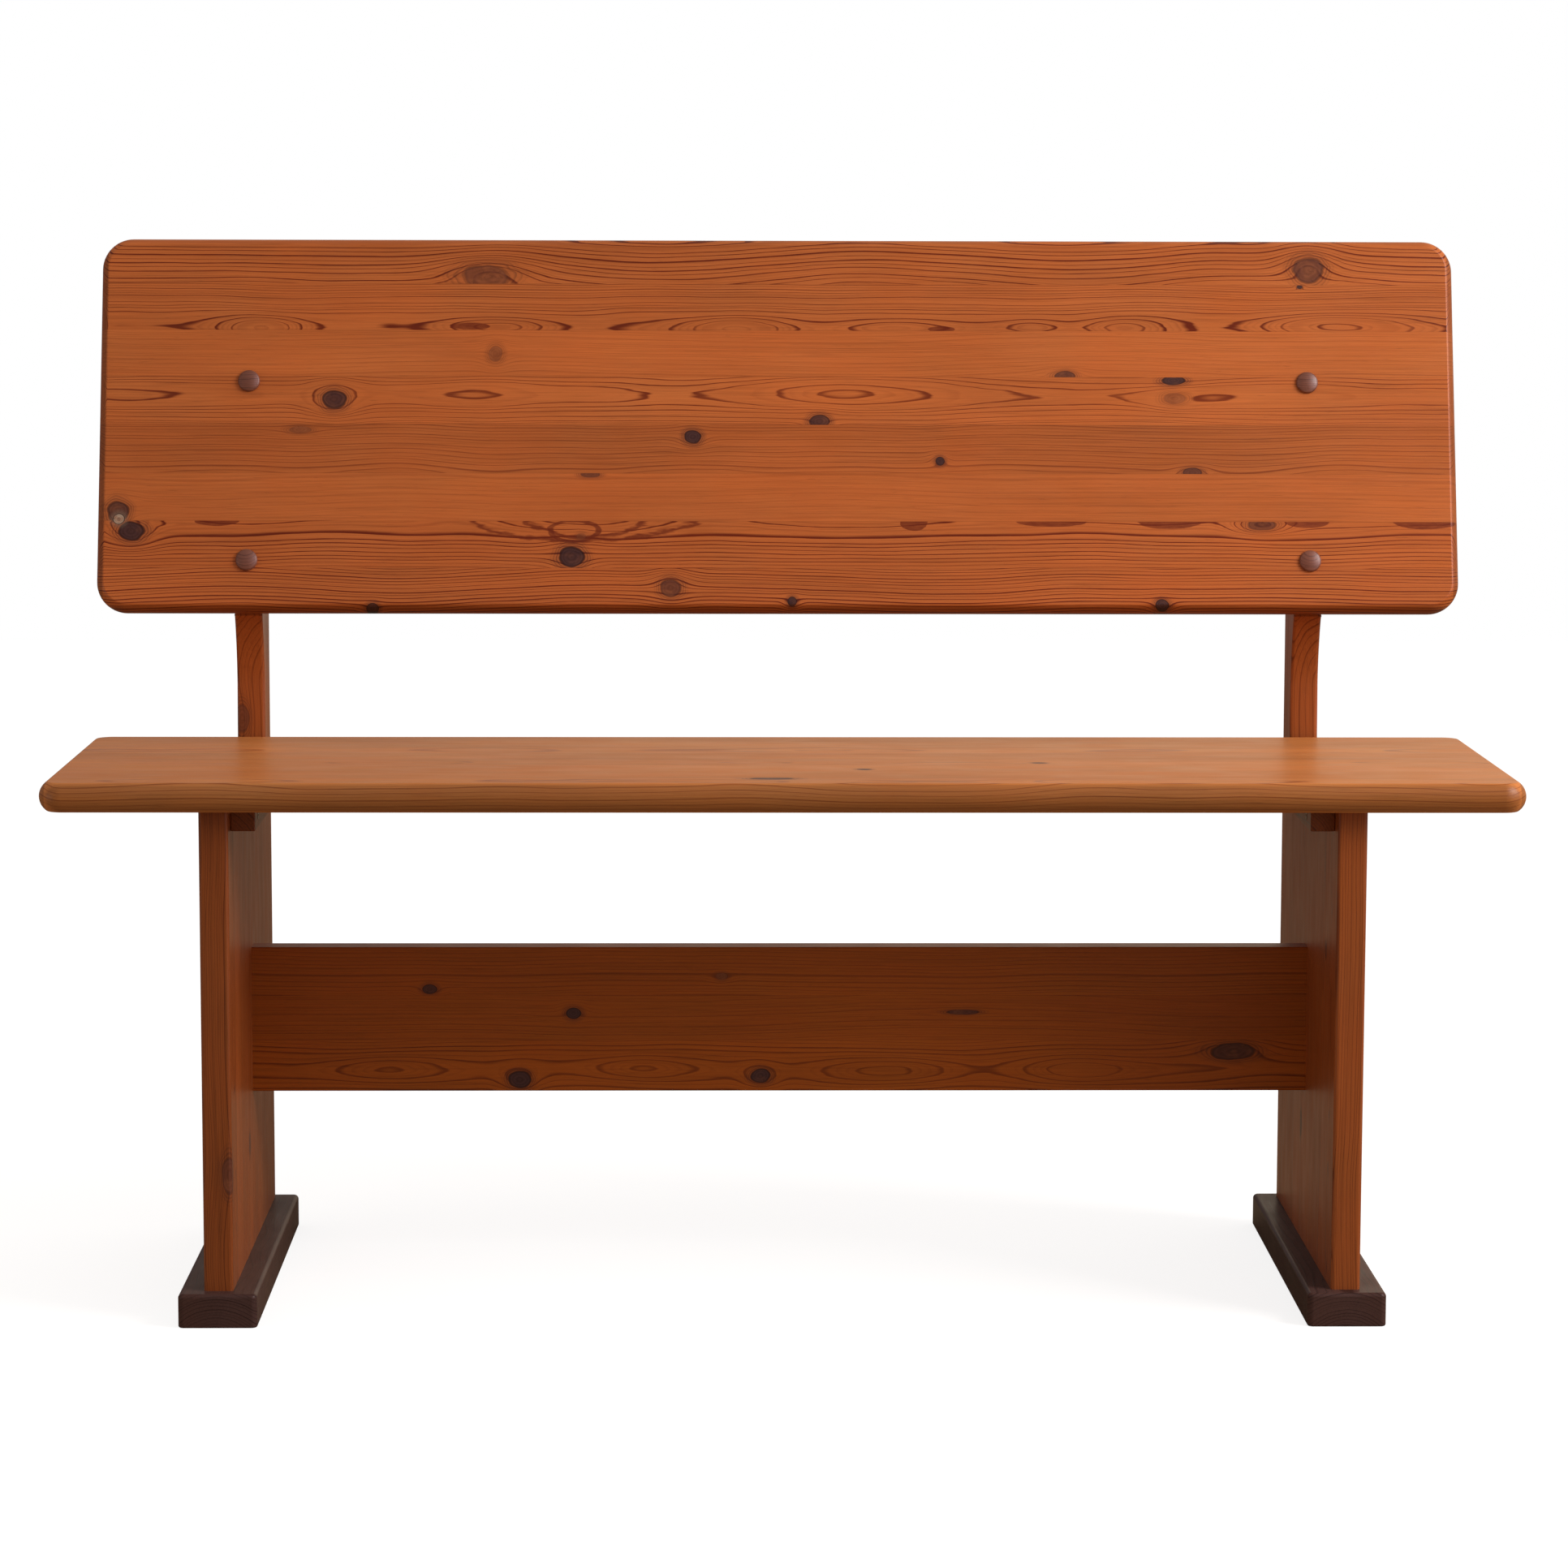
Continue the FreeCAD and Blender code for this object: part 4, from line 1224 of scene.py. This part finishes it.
def screw_material():
    """Zinc that has dulled, with faint turning marks and brown spots."""
    material = bpy.data.materials.new("dull_zinc")
    graph = empty_graph(material)
    place = Signal(graph, graph.node("TexCoord").outputs["Object"])
    spots = graph.noise(place, (420.0, 420.0, 420.0), 3.0, 4.0)
    scratches = graph.noise(place, (2600.0, 2600.0, 160.0), 5.0)
    colour = graph.mix(graph.step(spots, 0.02, 0.22, 0.0, 0.8), finish().screw, finish().screw_spots)
    roughness = spots * 0.5 + scratches * 0.2 + 0.42
    bump = graph.node("Bump", {"Strength": 0.4, "Distance": 0.05 * MM, "Height": scratches})
    shader = graph.node("BsdfPrincipled", {
        "Base Color": colour, "Roughness": roughness, "Normal": bump.outputs[0], "Metallic": 1.0,
    })
    graph.node("OutputMaterial", {"Surface": shader.outputs[0]})
    return material


class BENCH_OT_add_screws(bpy.types.Operator):
    """Adds the screws that hold backrest, stretcher, cleats, seat and feet"""

    bl_idname = "bench.add_screws"
    bl_label = "Add screws"

    def execute(self, context):
        material = screw_material()
        for kind, (screw, heading) in SCREWS.items():
            node = kind + "_screws"
            parts = []
            for head, direction in near_ends(node, heading):
                parts.append((slotted_screw(screw), aim(head - direction * SCREW_PROUD, direction)))
            add_piece(merged(parts), kind + "_slotted_screws", material, [node], "screws")
        return {"FINISHED"}


# The stage: floor, light and camera

# The camera was fitted to the bench's edges in the photograph. Its place is measured from the floor and
# from the middle between the feet, its angles are in radians and its lens and sensor in millimetres.
CAMERA_PLACE = Vector((-0.0605, -3.9501, 0.9016))
CAMERA_YAW = 0.0160
CAMERA_PITCH = 0.1206
CAMERA_ROLL = 0.0023
CAMERA_LENS = 107.84
CAMERA_SENSOR = 36.0
CAMERA_CLIP = (0.05, 50.0)

# Area lamps: their place, what they point at and their size in metres, their power in watts and their colour
Lamp = namedtuple("Lamp", "name place target size power colour")
LAMPS = [
    Lamp("key", Vector((2.4, -1.2, 2.0)), Vector((0.1, 0.0, 0.6)), (1.4, 1.4), 65.0, (1.0, 0.97, 0.94)),
    Lamp("fill", Vector((-2.8, -1.2, 0.45)), Vector((0.0, 0.0, 0.2)), (1.2, 0.8), 5.5, (1.0, 0.93, 0.88)),
]

# Half the floor's width, and how much of pure white it shows to the camera before light and shade
FLOOR_REACH = 6.0
FLOOR_WHITENESS = 0.82

WHITE = (1.0, 1.0, 1.0)


def add_camera():
    low, high = joint_box(["left_foot", "right_foot"])
    lens = bpy.data.cameras.new("camera")
    lens.lens = CAMERA_LENS
    lens.sensor_width = CAMERA_SENSOR
    lens.clip_start, lens.clip_end = CAMERA_CLIP
    camera = placed("camera", lens)
    place = Vector((0, (low.y + high.y) / 2, 0)) + CAMERA_PLACE
    yaw = Matrix.Rotation(-CAMERA_YAW, 4, "Z")
    pitch = Matrix.Rotation(math.pi / 2 - CAMERA_PITCH, 4, "X")
    camera.matrix_world = Matrix.Translation(place) @ yaw @ pitch @ Matrix.Rotation(CAMERA_ROLL, 4, "Z")
    bpy.context.scene.camera = camera


def add_lamp(lamp):
    light = bpy.data.lights.new(lamp.name, "AREA")
    light.shape = "RECTANGLE"
    light.size, light.size_y = lamp.size
    light.energy = lamp.power
    light.color = lamp.colour
    holder = placed(lamp.name, light)
    holder.location = lamp.place
    holder.rotation_euler = (lamp.target - lamp.place).to_track_quat("-Z", "Y").to_euler()


def add_world():
    """Soft light from all sides, a room that the lacquer mirrors, and a white background."""
    world = bpy.data.worlds.new("studio")
    graph = empty_graph(world)
    heading = graph.node("TexCoord").outputs["Generated"]
    to_right, to_back, to_top = graph.split(heading)
    low_light, high_light = (0.20, 0.18, 0.17), (0.62, 0.60, 0.58)
    right_light, left_light = (0.82, 0.80, 0.80), (0.62, 0.56, 0.50)
    soft = graph.mix(graph.step(to_top, -0.1, 0.9), low_light, high_light)
    soft = graph.mix(graph.step(to_right, 0.0, 1.0, 0.0, 0.8), soft, right_light)
    soft = graph.mix(graph.step(to_right, -0.5, -1.0, 0.0, 0.8), soft, left_light)
    dim_front, bright_back, dim_left = (0.13, 0.11, 0.09), (0.72, 0.58, 0.44), (0.12, 0.10, 0.12)
    bright_window = (2.7, 2.35, 2.7)
    mirrored = graph.mix(graph.step(to_back, 0.1, 0.9), dim_front, bright_back)
    mirrored = graph.mix(graph.step(to_right, 0.15, -0.25, 0.0, 0.9), mirrored, dim_left)
    in_window = graph.step(to_right, 0.22, 0.6) * graph.step(to_back, 0.1, -0.25)
    mirrored = graph.mix(in_window, mirrored, bright_window)
    rays = graph.node("LightPath").outputs
    seen = graph.mix(rays["Is Glossy Ray"], soft, mirrored)
    seen = graph.mix(rays["Is Transmission Ray"], seen, WHITE)
    seen = graph.mix(rays["Is Camera Ray"], seen, WHITE)
    background = graph.node("Background", {"Color": seen, "Strength": 1.0})
    graph.node("OutputWorld", {"Surface": background.outputs[0]})
    bpy.context.scene.world = world


def floor_material():
    """Pale, white to the camera but for the bench's shadow, and not there for a camera below it."""
    material = bpy.data.materials.new("pale_floor")
    graph = empty_graph(material)
    to_camera = Signal(graph, graph.node("LightPath").outputs["Is Camera Ray"])
    shade = graph.mix(to_camera, finish().floor_bounce, finish().floor)
    plain = graph.node("BsdfDiffuse", {"Color": shade})
    white = graph.node("Emission", {"Color": WHITE, "Strength": to_camera * FLOOR_WHITENESS})
    both = graph.node("AddShader", {0: plain.outputs[0], 1: white.outputs[0]})
    from_below = graph.node("NewGeometry").outputs["Backfacing"]
    nothing = graph.node("BsdfTransparent")
    one_sided = graph.node("MixShader", {0: from_below, 1: both.outputs[0], 2: nothing.outputs[0]})
    graph.node("OutputMaterial", {"Surface": one_sided.outputs[0]})
    return material


def add_floor():
    bm = bmesh.new()
    bmesh.ops.create_grid(bm, x_segments=2, y_segments=2, size=FLOOR_REACH)
    floor = placed("floor", mesh_of(bm, "floor"))
    floor.data.materials.append(floor_material())


class BENCH_OT_add_stage(bpy.types.Operator):
    """Adds the pale floor, the soft light and the camera at the photograph's angle"""

    bl_idname = "bench.add_stage"
    bl_label = "Add stage"

    def execute(self, context):
        context.scene.view_settings.view_transform = "Standard"
        add_world()
        add_floor()
        for lamp in LAMPS:
            add_lamp(lamp)
        add_camera()
        return {"FINISHED"}


class BENCH_PT_panel(bpy.types.Panel):
    """Lists the bench's sizes, colours and pieces"""

    bl_idname = "BENCH_PT_panel"
    bl_label = "Lacquered pine bench"
    bl_space_type = "VIEW_3D"
    bl_region_type = "UI"
    bl_category = "Bench"

    def draw(self, context):
        layout = self.layout
        for title, group in (("Sizes", context.scene.bench_sizes), ("Finish", context.scene.bench_finish)):
            box = layout.box()
            box.label(text=title)
            for name in group.__annotations__:
                box.prop(group, name)
        for operator in OPERATORS:
            layout.operator(operator.bl_idname)


OPERATORS = (
    BENCH_OT_add_seat,
    BENCH_OT_add_backrest,
    BENCH_OT_add_panels,
    BENCH_OT_add_stretcher,
    BENCH_OT_add_feet,
    BENCH_OT_add_cleats,
    BENCH_OT_add_plugs,
    BENCH_OT_add_screws,
    BENCH_OT_add_stage,
)
CLASSES = (BenchSizes, BenchFinish) + OPERATORS + (BENCH_PT_panel,)


def register():
    for item in CLASSES:
        bpy.utils.register_class(item)
    bpy.types.Scene.bench_sizes = bpy.props.PointerProperty(type=BenchSizes)
    bpy.types.Scene.bench_finish = bpy.props.PointerProperty(type=BenchFinish)


def unregister():
    del bpy.types.Scene.bench_finish
    del bpy.types.Scene.bench_sizes
    for item in reversed(CLASSES):
        bpy.utils.unregister_class(item)


def main():
    register()
    bpy.ops.bench.add_seat()
    bpy.ops.bench.add_backrest()
    bpy.ops.bench.add_panels()
    bpy.ops.bench.add_stretcher()
    bpy.ops.bench.add_feet()
    bpy.ops.bench.add_cleats()
    bpy.ops.bench.add_plugs()
    bpy.ops.bench.add_screws()
    bpy.ops.bench.add_stage()


if __name__ == "__main__":
    main()
